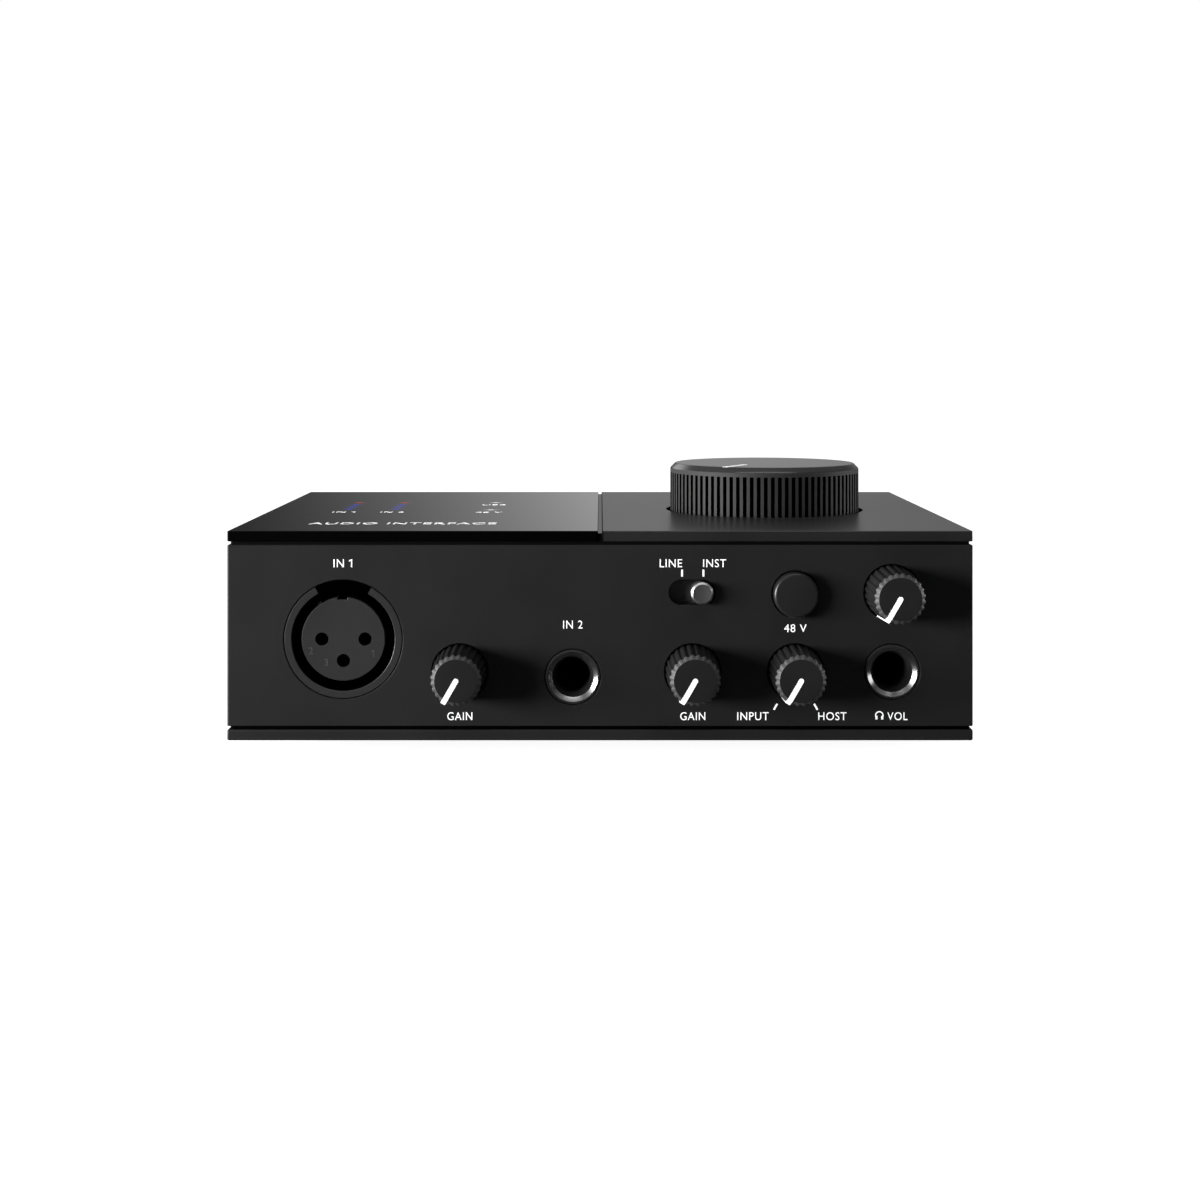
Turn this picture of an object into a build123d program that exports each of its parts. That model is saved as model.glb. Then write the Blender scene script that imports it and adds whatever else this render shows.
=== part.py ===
from build123d import *
import os
from math import atan, degrees

# A desktop audio interface. Sizes are in millimetres. Seen from the front, +X is to the right,
# +Y runs from front to back and +Z is up. The origin is on the resting surface, under the middle
# of the whole object, with its front knobs and its rear sleeves counted.

# Case: a four-walled housing between a bottom cover and two top panels, with shadow grooves between
body_width = 140.0
body_depth = 98.5
wall = 2.5
corner_radius = 0.4
rim_radius = 0.2
cover_rim_radius = 0.35
foot_height = 3.1
cover_thickness = 2.1
lower_groove = 0.6
housing_height = 34.0
upper_groove = 0.65
groove_depth = 0.55
panel_thickness = 2.0
panel_gap = 0.75
slip = 0.2
touch = 0.02

# Front controls: places across and above the bottom cover's underside, and how far they reach
knob_reach = 9.8
sleeve_reach = 8.0
lower_row = 12.9
upper_row = 27.8
xlr_x, xlr_height = -48.2, 19.0
gain_1_x = -26.3
in_2_x, in_2_height = -5.1, 11.95
gain_2_x = 17.4
mix_x = 36.7
headphone_x = 54.8
phantom_x, phantom_height = 36.65, 27.5
slot_x, slot_length, slot_height = 17.3, 8.7, 4.7

# Fluted front knobs on D-shaped shafts
small_hole_radius = 5.33
small_base_radius = 5.1
small_rim_radius = 4.71
small_face_radius = 3.93
small_chamfer = 0.7
small_seat = 3.4
flute_count = 24
flute_radius = 0.45
flute_offset = 0.2
small_pointer_width = 0.94
pointer_angle = 240
inlay = 0.35
shaft_radius = 3.0
shaft_flat = 1.6
shaft_grip = 6.4
pot_front = 5.0
pot_width, pot_height, pot_length = 9.8, 11.0, 7.0
pot_axis_height = 6.5
pot_collar_radius, pot_collar_length = 4.4, 0.8
pot_back_wall = 1.0
running_gap = 0.06
shaft_end_gap = 0.5

# Ribbed volume knob on top
volume_x = 35.2
volume_radius = 20.1
volume_hole_radius = 21.0
volume_reach = 10.0
volume_sink = 1.25
volume_chamfer = 1.05
volume_band = 0.9
volume_wall = 2.4
rib_count = 88
rib_slot_width = 0.6
rib_slot_depth = 0.55
hub_radius = 5.0
volume_pointer_width = 1.2
volume_pointer_start = 9.0
volume_pot_size = 12.0
volume_pot_height = 5.0
volume_collar_radius = 3.6
volume_hub_lift, volume_hub_clearance = 1.8, 0.8
volume_pot_floor = 1.0

# Sockets
xlr_hole_radius = 11.2
xlr_outer_radius = 11.08
xlr_inner_radius = 9.7
xlr_core_radius = 7.85
xlr_length = 19.0
xlr_gap_angle = 57.0
xlr_flange_width, xlr_flange_height, xlr_flange_thickness = 23.0, 25.0, 2.5
xlr_latch_depth = 12.0
xlr_floor_depth, xlr_floor_thickness = 14.5, 4.5
xlr_key_width, xlr_key_depth, xlr_key_offset = 1.8, 0.9, -0.2
xlr_guide_width, xlr_guide_height, xlr_guide_length, xlr_guide_angle = 0.8, 0.9, 12.5, 126
xlr_contact_radius = 4.05
xlr_contact_hole = 1.25
xlr_contact_wall = 0.25
xlr_contact_inset, xlr_contact_length, xlr_contact_bore = 6.0, 14.0, 8.0
jack_hole_radius = 5.28
jack_rim_radius = 5.1
jack_cone_radius = 4.6
jack_bore_radius = 3.25
jack_bushing_length = 9.3
jack_front = 4.5
jack_width, jack_length = 14.2, 26.5
jack_end_wall = 2.0
in_2_case_height, headphone_case_height = 11.1, 12.9
usb_x = -44.0
usb_width, usb_height, usb_length = 12.0, 10.9, 16.0
rca_left_x, rca_right_x = 44.0, 30.0
rca_height = 13.4
rca_radius = 4.15
rca_sleeve_wall = 0.5
rca_contact_radius, rca_pin_radius = 1.9, 1.65
rca_insulator_recess = 0.5
rca_block_margin, rca_block_rise, rca_block_depth = 11.0, 6.0, 12.0

# Boards and fastenings
board = 1.6
standoff = 2.1
board_edge = 4.0
control_board_gap = 13.3
top_board_drop = 5.2
carrier_skirt = 2.0
spacer_radius = 2.1
boss_radius = 2.8
boss_inset = 5.0
screw_radius = 1.2
screw_head_radius, screw_head_height = 2.0, 1.3

# Small sizes used by one or two pieces
bottom_aligned = (Align.CENTER, Align.CENTER, Align.MIN)
top_aligned = (Align.CENTER, Align.CENTER, Align.MAX)
hole_chamfer = 0.12
gap_floor_depth = 0.48
post_radius = 2.8
foot_radius = 6.0
foot_rounding = 0.5
foot_spans = (104.0, 54.5)
short_screw_length = 4.4
case_screw_length = 12.0
recess_length, recess_width, recess_depth = 2.6, 0.55, 0.8
button_hole_radius = 4.43
button_radius = 4.2
button_reach = 2.5
button_rounding = 0.45
button_flange_radius, button_flange = 5.2, 0.9
plunger_side, plunger_grip, plunger_length = 3.0, 2.0, 8.4
switch_front = 7.0
phantom_switch_side, phantom_switch_height, phantom_switch_bore = 8.0, 10.2, 5.0
slide_rest = 1.8
slide_travel = 3.8
slide_button_radius = 2.1
slide_button_chamfer = 0.3
slide_reach = 2.0
carriage_width, carriage_height, carriage_thickness = 13.0, 6.4, 1.0
stem_side, stem_length = 3.0, 4.0
slide_switch_width, slide_switch_height, slide_switch_length = 15.0, 9.6, 6.0
leaf_front, leaf_length, leaf_width, leaf_thickness, leaf_pocket = 15.0, 10.0, 2.4, 0.3, 1.6
usb_shell_wall, usb_corner_radius = 0.5, 0.6
usb_throat_width, usb_throat_height, usb_throat_depth, usb_throat_bevel = 8.45, 7.78, 9.0, 1.4
tongue_width, tongue_height, tongue_inset = 5.6, 3.0, 0.8
usb_contact_pitch, usb_contact_width, usb_contact_thickness = 2.5, 1.0, 0.25
light_height, light_length, light_width = 0.7, 1.6, 1.0
capacitor_radius, capacitor_height, capacitor_rounding = 3.15, 7.7, 0.5

# Levels and places that follow from the sizes above
cover_bottom = foot_height
cover_top = cover_bottom + cover_thickness
housing_bottom = cover_top + lower_groove
housing_top = housing_bottom + housing_height
panel_bottom = housing_top + upper_groove
panel_top = panel_bottom + panel_thickness
carrier_bottom = housing_top - carrier_skirt
total_depth = knob_reach + body_depth + sleeve_reach
front_y = knob_reach - total_depth / 2
back_y = front_y + body_depth
middle_y = (front_y + back_y) / 2
inner_width = body_width - 2 * wall
inner_depth = body_depth - 2 * wall
main_board_bottom = housing_bottom + standoff
main_board_top = main_board_bottom + board
control_board_bottom = main_board_top + control_board_gap
control_board_top = control_board_bottom + board
top_board_top = carrier_bottom - top_board_drop
top_board_bottom = top_board_top - board
lower_z = cover_bottom + lower_row
upper_z = cover_bottom + upper_row
xlr_z = cover_bottom + xlr_height
in_2_z = cover_bottom + in_2_height
phantom_z = cover_bottom + phantom_height
volume_top = panel_top + volume_reach
volume_bottom = panel_top - volume_sink
volume_centre = (volume_x, middle_y)
boss_spans = (body_width - 2 * boss_inset, body_depth - 2 * boss_inset)
usb_z = main_board_top + usb_height / 2
rca_z = cover_bottom + rca_height

# Where the boards are screwed down: the main board on the cover, the top board under the carrier
main_board_posts = [(-60, -28), (-60, 36), (2, 2), (60, 36), (60, -10)]
top_board_posts = [(-58, -8), (-58, 24), (58, -8), (58, 24)]
spacer_places = [(12.5, -24), (42.5, -24), (64.6, -24)]

# Signal lights under the gloss panel: columns across, rows back from the case's front edge
meter_columns = (-53.8, -43.7)
meter_rows = (49.0, 54.5, 60.0)
peak_row = 65.8
status_column = -23.3
status_rows = (47.0, 66.0)
guide_radius = 0.6
small_knob_places = {
    "gain_1": (gain_1_x, lower_z),
    "gain_2": (gain_2_x, lower_z),
    "mix": (mix_x, lower_z),
    "headphone": (headphone_x, upper_z),
}
level_places = [(x, front_y + row) for x in meter_columns for row in meter_rows]
peak_places = [(x, front_y + peak_row) for x in meter_columns]
status_places = [(status_column, front_y + row) for row in status_rows]
guide_places = level_places + peak_places + status_places
boss_places = [
    (x * boss_spans[0] / 2, middle_y + y * boss_spans[1] / 2) for x in (-1, 1) for y in (-1, 1)
]


def facing_front(x, z, depth=0.0):
    """A plane that faces forwards, across and up, a given depth behind the case's front face."""
    return Plane(origin=(x, front_y + depth, z), x_dir=(1, 0, 0), z_dir=(0, -1, 0))


def facing_back(x, z, depth=0.0):
    """A plane that faces backwards, a given depth in front of the case's back face."""
    return Plane(origin=(x, back_y - depth, z), x_dir=(-1, 0, 0), z_dir=(0, 1, 0))


def level_through(x, z):
    """The level plane through a front control's axis, measured back from the case's front face."""
    return Plane(origin=(x, front_y, z), x_dir=(1, 0, 0), z_dir=(0, 0, 1))


def save(piece, name):
    """Labels a finished piece and writes its STEP file."""
    piece.part.label = name
    export_step(piece.part, f"parts/{name}.step")


def case_outline(level, inset=0.0):
    """The case's outline on a level plane, drawn in by the inset."""
    with BuildSketch(Plane.XY.offset(level)) as outline:
        with Locations((0, middle_y)):
            RectangleRounded(body_width - 2 * inset, body_depth - 2 * inset, corner_radius)
    return outline.sketch


def housing_piece():
    """The four walls with their corner bosses and every opening for the controls and sockets."""
    with BuildPart() as housing:
        extrude(case_outline(housing_bottom), amount=housing_height)
        rims = housing.faces().filter_by(Axis.Z)
        fillet(rims.edges(), rim_radius)
        with BuildSketch(Plane.XY.offset(housing_bottom)):
            with Locations((0, middle_y)):
                Rectangle(inner_width, inner_depth)
        extrude(amount=housing_height, mode=Mode.SUBTRACT)
        with BuildSketch(Plane.XY.offset(housing_bottom)):
            with Locations((0, middle_y)):
                with GridLocations(*boss_spans, 2, 2):
                    Circle(boss_radius)
        extrude(amount=carrier_bottom - housing_bottom)
        with BuildSketch(Plane.XY.offset(housing_bottom)):
            with Locations((0, middle_y)):
                with GridLocations(*boss_spans, 2, 2):
                    Circle(screw_radius + touch)
        extrude(amount=carrier_bottom - housing_bottom, mode=Mode.SUBTRACT)
        with BuildSketch(facing_front(0, 0)):
            with Locations((xlr_x, xlr_z)):
                Circle(xlr_hole_radius)
            with Locations((in_2_x, in_2_z), (headphone_x, lower_z)):
                Circle(jack_hole_radius)
            with Locations(*small_knob_places.values()):
                Circle(small_hole_radius)
            with Locations((phantom_x, phantom_z)):
                Circle(button_hole_radius)
            with Locations((slot_x, upper_z)):
                SlotOverall(slot_length, slot_height)
        extrude(amount=-wall, mode=Mode.SUBTRACT)
        front_face = housing.faces().sort_by(Axis.Y)[0]
        chamfer(front_face.inner_wires().edges(), hole_chamfer)
        with BuildSketch(facing_back(0, 0)):
            with Locations((-usb_x, usb_z)):
                Rectangle(usb_width + 2 * slip, usb_height + 2 * slip)
            with Locations((-rca_left_x, rca_z), (-rca_right_x, rca_z)):
                Circle(rca_radius + 2 * slip)
        extrude(amount=-wall, mode=Mode.SUBTRACT)
    return housing


def bottom_cover_piece():
    """The bottom plate with the step that makes the lower groove, board posts and foot recesses."""
    with BuildPart() as cover:
        extrude(case_outline(cover_bottom), amount=cover_thickness)
        fillet(cover.faces().filter_by(Axis.Z).edges(), cover_rim_radius)
        extrude(case_outline(cover_top, groove_depth), amount=lower_groove)
        with BuildSketch(Plane.XY.offset(housing_bottom)):
            with Locations(*main_board_posts):
                Circle(post_radius)
        extrude(amount=standoff)
        with BuildSketch(Plane.XY.offset(main_board_bottom)):
            with Locations(*main_board_posts):
                Circle(screw_radius + touch)
        extrude(amount=-short_screw_length, mode=Mode.SUBTRACT)
        with BuildSketch(Plane.XY.offset(cover_bottom)):
            with Locations((0, middle_y)):
                with GridLocations(*boss_spans, 2, 2):
                    Circle(screw_head_radius + slip)
                with GridLocations(*foot_spans, 2, 2):
                    Circle(foot_radius + touch)
        extrude(amount=screw_head_height, mode=Mode.SUBTRACT)
        with BuildSketch(Plane.XY.offset(cover_bottom)):
            with Locations((0, middle_y)):
                with GridLocations(*boss_spans, 2, 2):
                    Circle(screw_radius + touch)
        extrude(amount=cover_thickness + lower_groove, mode=Mode.SUBTRACT)
    return cover


def rubber_feet_piece():
    """Four rubber feet, seated in the bottom cover's recesses."""
    with BuildPart() as feet:
        with BuildSketch(Plane.XY):
            with Locations((0, middle_y)):
                with GridLocations(*foot_spans, 2, 2):
                    Circle(foot_radius)
        extrude(amount=foot_height + screw_head_height)
        fillet(feet.faces().group_by(Axis.Z)[0].edges(), foot_rounding)
    return feet


def top_carrier_piece():
    """The stepped deck under the top panels: it makes the upper groove and holds the top board."""
    with BuildPart() as carrier:
        extrude(case_outline(housing_top, groove_depth), amount=upper_groove)
        extrude(case_outline(carrier_bottom, wall + slip), amount=housing_top - carrier_bottom)
        with BuildSketch(Plane.XY.offset(panel_bottom)):
            with Locations((0, middle_y)):
                Rectangle(panel_gap, body_depth - 2 * groove_depth)
        extrude(amount=panel_thickness - gap_floor_depth)
        with BuildSketch(Plane.XY.offset(carrier_bottom)):
            with Locations(*top_board_posts):
                Circle(post_radius)
        extrude(amount=top_board_top - carrier_bottom)
        with BuildSketch(Plane.XY.offset(top_board_top)):
            with Locations(*top_board_posts):
                Circle(screw_radius + touch)
        extrude(amount=short_screw_length, mode=Mode.SUBTRACT)
        with BuildSketch(Plane.XY.offset(carrier_bottom)):
            with Locations((0, middle_y)):
                with GridLocations(*boss_spans, 2, 2):
                    Circle(screw_radius + touch)
            with Locations(*guide_places):
                Circle(guide_radius + touch)
            with Locations(volume_centre):
                Circle(volume_collar_radius + slip)
        extrude(amount=panel_bottom - carrier_bottom, mode=Mode.SUBTRACT)
        with BuildSketch(Plane.XY.offset(panel_bottom)):
            with Locations((0, middle_y)):
                with GridLocations(*boss_spans, 2, 2):
                    Circle(screw_head_radius + slip)
        extrude(amount=-screw_head_height, mode=Mode.SUBTRACT)
    return carrier


def top_panel_piece(side, holes, hole_radius):
    """One of the two top panels; side is -1 for the left one and 1 for the right one."""
    width = (body_width - panel_gap) / 2
    centre = (side * (body_width + panel_gap) / 4, middle_y)
    with BuildPart() as panel:
        with BuildSketch(Plane.XY.offset(panel_bottom)):
            with Locations(centre):
                RectangleRounded(width, body_depth, corner_radius)
        extrude(amount=panel_thickness)
        fillet(panel.faces().filter_by(Axis.Z).edges(), rim_radius)
        with BuildSketch(Plane.XY.offset(panel_bottom)):
            with Locations(*holes):
                Circle(hole_radius)
        extrude(amount=panel_thickness, mode=Mode.SUBTRACT)
    return panel


def screws(planes, length):
    """Identical pan-head screws with crossed recesses, one on each plane, heads on its outer side."""
    with BuildPart(*planes) as group:
        Cylinder(screw_head_radius, screw_head_height, align=bottom_aligned)
        Cylinder(screw_radius, length, align=top_aligned)
        with Locations((0, 0, screw_head_height - recess_depth)):
            for turn in (0, 90):
                Box(recess_length, recess_width, recess_depth, rotation=(0, 0, turn),
                    align=bottom_aligned, mode=Mode.SUBTRACT)
    return group


def circuit_board(places, x_range, y_range, bottom):
    """A circuit board with its screw holes, notched where it would meet the housing's bosses."""
    size = (x_range[1] - x_range[0], y_range[1] - y_range[0])
    with BuildPart() as piece:
        with BuildSketch(Plane.XY.offset(bottom)):
            with Locations((sum(x_range) / 2, sum(y_range) / 2)):
                Rectangle(*size)
            with Locations(*places):
                Circle(screw_radius + slip, mode=Mode.SUBTRACT)
            with Locations(*boss_places):
                Circle(boss_radius + 3 * slip, mode=Mode.SUBTRACT)
        extrude(amount=board)
    return piece


def d_section(plane, clearance=0.0):
    """A D-shaped shaft's section on a plane."""
    with BuildSketch(plane) as section:
        Circle(shaft_radius + clearance)
        with Locations((0, shaft_flat + clearance)):
            Rectangle(4 * shaft_radius, 2 * shaft_radius, mode=Mode.SUBTRACT,
                      align=(Align.CENTER, Align.MIN))
    return section.sketch


def small_knob_pieces(x, z):
    """One front control: the fluted knob, its inlaid pointer and its shaft, all turning together."""
    axis = Axis((x, front_y, z), (0, 1, 0))
    rim_depth = small_chamfer - knob_reach
    with BuildPart() as pointer:
        with BuildSketch(level_through(x, z)):
            with BuildLine():
                Polyline(
                    (0, -knob_reach),
                    (small_face_radius, -knob_reach),
                    (small_rim_radius, rim_depth),
                    (small_base_radius, 0),
                    (small_base_radius - inlay, 0),
                    (small_rim_radius - inlay, rim_depth + inlay),
                    (small_face_radius - inlay, inlay - knob_reach),
                    (0, inlay - knob_reach),
                    close=True,
                )
            make_face()
        revolve(axis=axis)
        with BuildSketch(facing_front(x, z)):
            Circle(small_pointer_width / 2)
            Rectangle(2 * small_base_radius, small_pointer_width, rotation=pointer_angle,
                      align=(Align.MIN, Align.CENTER))
        extrude(amount=knob_reach, mode=Mode.INTERSECT)
    with BuildPart() as knob:
        with BuildSketch(level_through(x, z)):
            with BuildLine():
                Polyline(
                    (0, -knob_reach),
                    (small_face_radius, -knob_reach),
                    (small_rim_radius, rim_depth),
                    (small_base_radius, 0),
                    (small_base_radius, small_seat),
                    (0, small_seat),
                    close=True,
                )
            make_face()
        revolve(axis=axis)
        taper = degrees(atan((small_base_radius - small_rim_radius) / -rim_depth))
        with Locations(facing_front(x, z)):
            with PolarLocations(small_base_radius + flute_offset, flute_count):
                Cylinder(flute_radius, 4 * knob_reach, rotation=(0, -taper, 0), mode=Mode.SUBTRACT)
        socket = d_section(facing_front(x, z, small_seat), touch)
        extrude(socket, amount=small_seat + shaft_grip, mode=Mode.SUBTRACT)
        add(pointer.part, mode=Mode.SUBTRACT)
    with BuildPart() as shaft:
        extrude(d_section(facing_front(x, z, pot_front)), amount=pot_front + shaft_grip)
        with BuildSketch(facing_front(x, z, pot_front)):
            Circle(shaft_radius)
        extrude(amount=pot_collar_length)
        with BuildSketch(facing_front(x, z, pot_front)):
            Circle(shaft_radius)
        extrude(amount=pot_back_wall + shaft_end_gap - pot_length)
    return knob, pointer, shaft


def control_pots_piece():
    """Four identical upright potentiometer cases, each bored for its shaft."""
    planes = [facing_front(x, z, pot_front) for x, z in small_knob_places.values()]
    with BuildPart() as pots:
        with BuildSketch(*planes):
            with Locations((0, pot_height / 2 - pot_axis_height)):
                Rectangle(pot_width, pot_height)
        extrude(amount=-pot_length)
        with BuildSketch(*planes):
            Circle(pot_collar_radius)
        extrude(amount=pot_collar_length)
        with BuildSketch(*planes):
            Circle(shaft_radius + running_gap)
        extrude(amount=pot_collar_length, mode=Mode.SUBTRACT)
        with BuildSketch(*planes):
            Circle(shaft_radius + running_gap)
        extrude(amount=pot_back_wall - pot_length, mode=Mode.SUBTRACT)
    return pots


def volume_pieces():
    """The volume control: a hollow ribbed knob, its inlaid pointer, its shaft and the potentiometer."""
    ribbed_height = volume_top - volume_chamfer - volume_band - volume_bottom
    hollow_top = volume_top - volume_wall
    hub_bottom = volume_bottom + volume_hub_lift
    collar_top = hub_bottom - volume_hub_clearance
    with BuildPart() as pointer:
        with BuildSketch(Plane.XY.offset(volume_top)):
            with Locations(volume_centre):
                Rectangle(volume_radius, volume_pointer_width, rotation=pointer_angle,
                          align=(Align.MIN, Align.CENTER))
                Circle(volume_pointer_start, mode=Mode.SUBTRACT)
                Circle(volume_radius - volume_chamfer, mode=Mode.INTERSECT)
        extrude(amount=-inlay)
    with BuildPart() as knob:
        with BuildSketch(Plane.XY.offset(volume_bottom)):
            with Locations(volume_centre):
                Circle(volume_radius)
                with PolarLocations(volume_radius, rib_count):
                    Rectangle(2 * rib_slot_depth, rib_slot_width, mode=Mode.SUBTRACT)
        extrude(amount=ribbed_height)
        with BuildSketch(Plane.XY.offset(volume_bottom + ribbed_height)):
            with Locations(volume_centre):
                Circle(volume_radius)
        extrude(amount=volume_band + volume_chamfer)
        chamfer(knob.faces().sort_by(Axis.Z)[-1].edges(), volume_chamfer)
        with BuildSketch(Plane.XY.offset(volume_bottom)):
            with Locations(volume_centre):
                Circle(volume_radius - rib_slot_depth - volume_wall)
        extrude(amount=hollow_top - volume_bottom, mode=Mode.SUBTRACT)
        with BuildSketch(Plane.XY.offset(hub_bottom)):
            with Locations(volume_centre):
                Circle(hub_radius)
        extrude(amount=hollow_top - hub_bottom)
        socket = d_section(Plane(origin=(*volume_centre, hub_bottom)), touch)
        extrude(socket, amount=hollow_top - hub_bottom, mode=Mode.SUBTRACT)
        add(pointer.part, mode=Mode.SUBTRACT)
    with BuildPart() as shaft:
        grip = d_section(Plane(origin=(*volume_centre, collar_top)))
        extrude(grip, amount=hollow_top - touch - collar_top)
        with BuildSketch(Plane(origin=(*volume_centre, collar_top))):
            Circle(shaft_radius)
        extrude(amount=top_board_top + volume_pot_floor + shaft_end_gap - collar_top)
    with BuildPart() as pot:
        with BuildSketch(Plane(origin=(*volume_centre, top_board_top))):
            Rectangle(volume_pot_size, volume_pot_size)
        extrude(amount=volume_pot_height)
        with BuildSketch(Plane(origin=(*volume_centre, top_board_top))):
            Circle(volume_collar_radius)
        extrude(amount=collar_top - top_board_top)
        with BuildSketch(Plane(origin=(*volume_centre, top_board_top + volume_pot_floor))):
            Circle(shaft_radius + running_gap)
        extrude(amount=collar_top - top_board_top, mode=Mode.SUBTRACT)
    return knob, pointer, shaft, pot


def phantom_pieces():
    """The phantom-power push button: the cap, the plunger it sits on and the switch behind them."""
    with BuildPart() as cap:
        with BuildSketch(facing_front(phantom_x, phantom_z, wall + slip)):
            Circle(button_radius)
        extrude(amount=wall + slip + button_reach)
        fillet(cap.faces().sort_by(Axis.Y)[0].edges(), button_rounding)
        with BuildSketch(facing_front(phantom_x, phantom_z, wall + slip)):
            Circle(button_flange_radius)
        extrude(amount=-button_flange)
        with BuildSketch(facing_front(phantom_x, phantom_z, wall + slip + button_flange)):
            Rectangle(plunger_side + 2 * touch, plunger_side + 2 * touch)
        extrude(amount=plunger_grip, mode=Mode.SUBTRACT)
    with BuildPart() as plunger:
        with BuildSketch(facing_front(phantom_x, phantom_z, wall + slip + button_flange - plunger_grip)):
            Rectangle(plunger_side, plunger_side)
        extrude(amount=-plunger_length)
    with BuildPart() as switch:
        with BuildSketch(facing_front(phantom_x, control_board_top, switch_front)):
            Rectangle(phantom_switch_side, phantom_switch_height, align=(Align.CENTER, Align.MIN))
        extrude(amount=-phantom_switch_side)
        with BuildSketch(facing_front(phantom_x, phantom_z, switch_front)):
            Rectangle(plunger_side + slip, plunger_side + slip)
        extrude(amount=-phantom_switch_bore, mode=Mode.SUBTRACT)
    return cap, plunger, switch


def slide_switch_pieces():
    """The line/instrument switch: round button, its carriage behind the slot, and the switch."""
    x = slot_x + slide_rest
    carriage_front = wall + 2 * slip
    carriage_back = carriage_front + carriage_thickness
    channel = slide_travel + stem_side + slip
    with BuildPart() as button:
        with BuildSketch(facing_front(x, upper_z, carriage_front)):
            Circle(slide_button_radius)
        extrude(amount=carriage_front + slide_reach)
        chamfer(button.faces().sort_by(Axis.Y)[0].edges(), slide_button_chamfer)
    with BuildPart() as carriage:
        with BuildSketch(facing_front(x, upper_z, carriage_front)):
            Rectangle(carriage_width, carriage_height)
        extrude(amount=-carriage_thickness)
        with BuildSketch(facing_front(x, upper_z, carriage_back)):
            Rectangle(stem_side, stem_side)
        extrude(amount=-stem_length)
    with BuildPart() as switch:
        with BuildSketch(facing_front(slot_x, control_board_top, pot_front)):
            Rectangle(slide_switch_width, slide_switch_height, align=(Align.CENTER, Align.MIN))
        extrude(amount=-slide_switch_length)
        with BuildSketch(facing_front(x - slide_travel / 2, upper_z, pot_front)):
            Rectangle(channel, stem_side + slip)
        extrude(amount=-stem_length - slip, mode=Mode.SUBTRACT)
    return button, carriage, switch


def xlr_pieces():
    """The three-pole microphone socket: barrel with flange, insulating core and contact tubes."""
    contact_angles = (0, 180, 270)
    with BuildPart() as shell:
        with BuildSketch(facing_front(xlr_x, xlr_z, touch)):
            Circle(xlr_outer_radius)
            Circle(xlr_inner_radius, mode=Mode.SUBTRACT)
        extrude(amount=-xlr_length)
        chamfer(shell.faces().sort_by(Axis.Y)[0].edges(), hole_chamfer)
        with BuildSketch(facing_front(xlr_x, main_board_top, wall)):
            with Locations((0, slip)):
                Rectangle(xlr_flange_width, xlr_flange_height, align=(Align.CENTER, Align.MIN))
            with Locations((0, xlr_z - main_board_top)):
                Circle(xlr_inner_radius, mode=Mode.SUBTRACT)
        extrude(amount=-xlr_flange_thickness)
        with BuildSketch(facing_front(xlr_x, xlr_z)):
            with BuildLine():
                start = 90 - xlr_gap_angle / 2
                arc = CenterArc((0, 0), xlr_outer_radius + 1.0, start, xlr_gap_angle)
                Line(arc @ 1, (0, 0))
                Line((0, 0), arc @ 0)
            make_face()
            Circle(xlr_core_radius, mode=Mode.SUBTRACT)
        extrude(amount=-xlr_latch_depth, mode=Mode.SUBTRACT)
    with BuildPart() as insert:
        with BuildSketch(facing_front(xlr_x, xlr_z, xlr_floor_depth)):
            Circle(xlr_inner_radius - touch)
        extrude(amount=-xlr_floor_thickness)
        with BuildSketch(facing_front(xlr_x, xlr_z, xlr_floor_depth)):
            Circle(xlr_core_radius)
            with Locations((xlr_key_offset, xlr_core_radius)):
                Rectangle(xlr_key_width, xlr_key_depth, mode=Mode.SUBTRACT)
        extrude(amount=xlr_floor_depth - 2 * slip)
        with BuildSketch(facing_front(xlr_x, xlr_z, xlr_floor_depth)):
            with PolarLocations(xlr_core_radius, 1, start_angle=xlr_guide_angle):
                Rectangle(xlr_guide_height, xlr_guide_width)
        extrude(amount=xlr_guide_length)
        chamfer(insert.faces().sort_by(Axis.Y)[0].outer_wire().edges(), hole_chamfer)
        with BuildSketch(facing_front(xlr_x, xlr_z, xlr_length)):
            for angle in contact_angles:
                with PolarLocations(xlr_contact_radius, 1, start_angle=angle):
                    Circle(xlr_contact_hole)
        extrude(amount=xlr_length, mode=Mode.SUBTRACT)
    with BuildPart() as contacts:
        with BuildSketch(facing_front(xlr_x, xlr_z, xlr_contact_inset)):
            for angle in contact_angles:
                with PolarLocations(xlr_contact_radius, 1, start_angle=angle):
                    Circle(xlr_contact_hole - touch)
        extrude(amount=-xlr_contact_length)
        with BuildSketch(facing_front(xlr_x, xlr_z, xlr_contact_inset)):
            for angle in contact_angles:
                with PolarLocations(xlr_contact_radius, 1, start_angle=angle):
                    Circle(xlr_contact_hole - xlr_contact_wall)
        extrude(amount=-xlr_contact_bore, mode=Mode.SUBTRACT)
    return shell, insert, contacts


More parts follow.
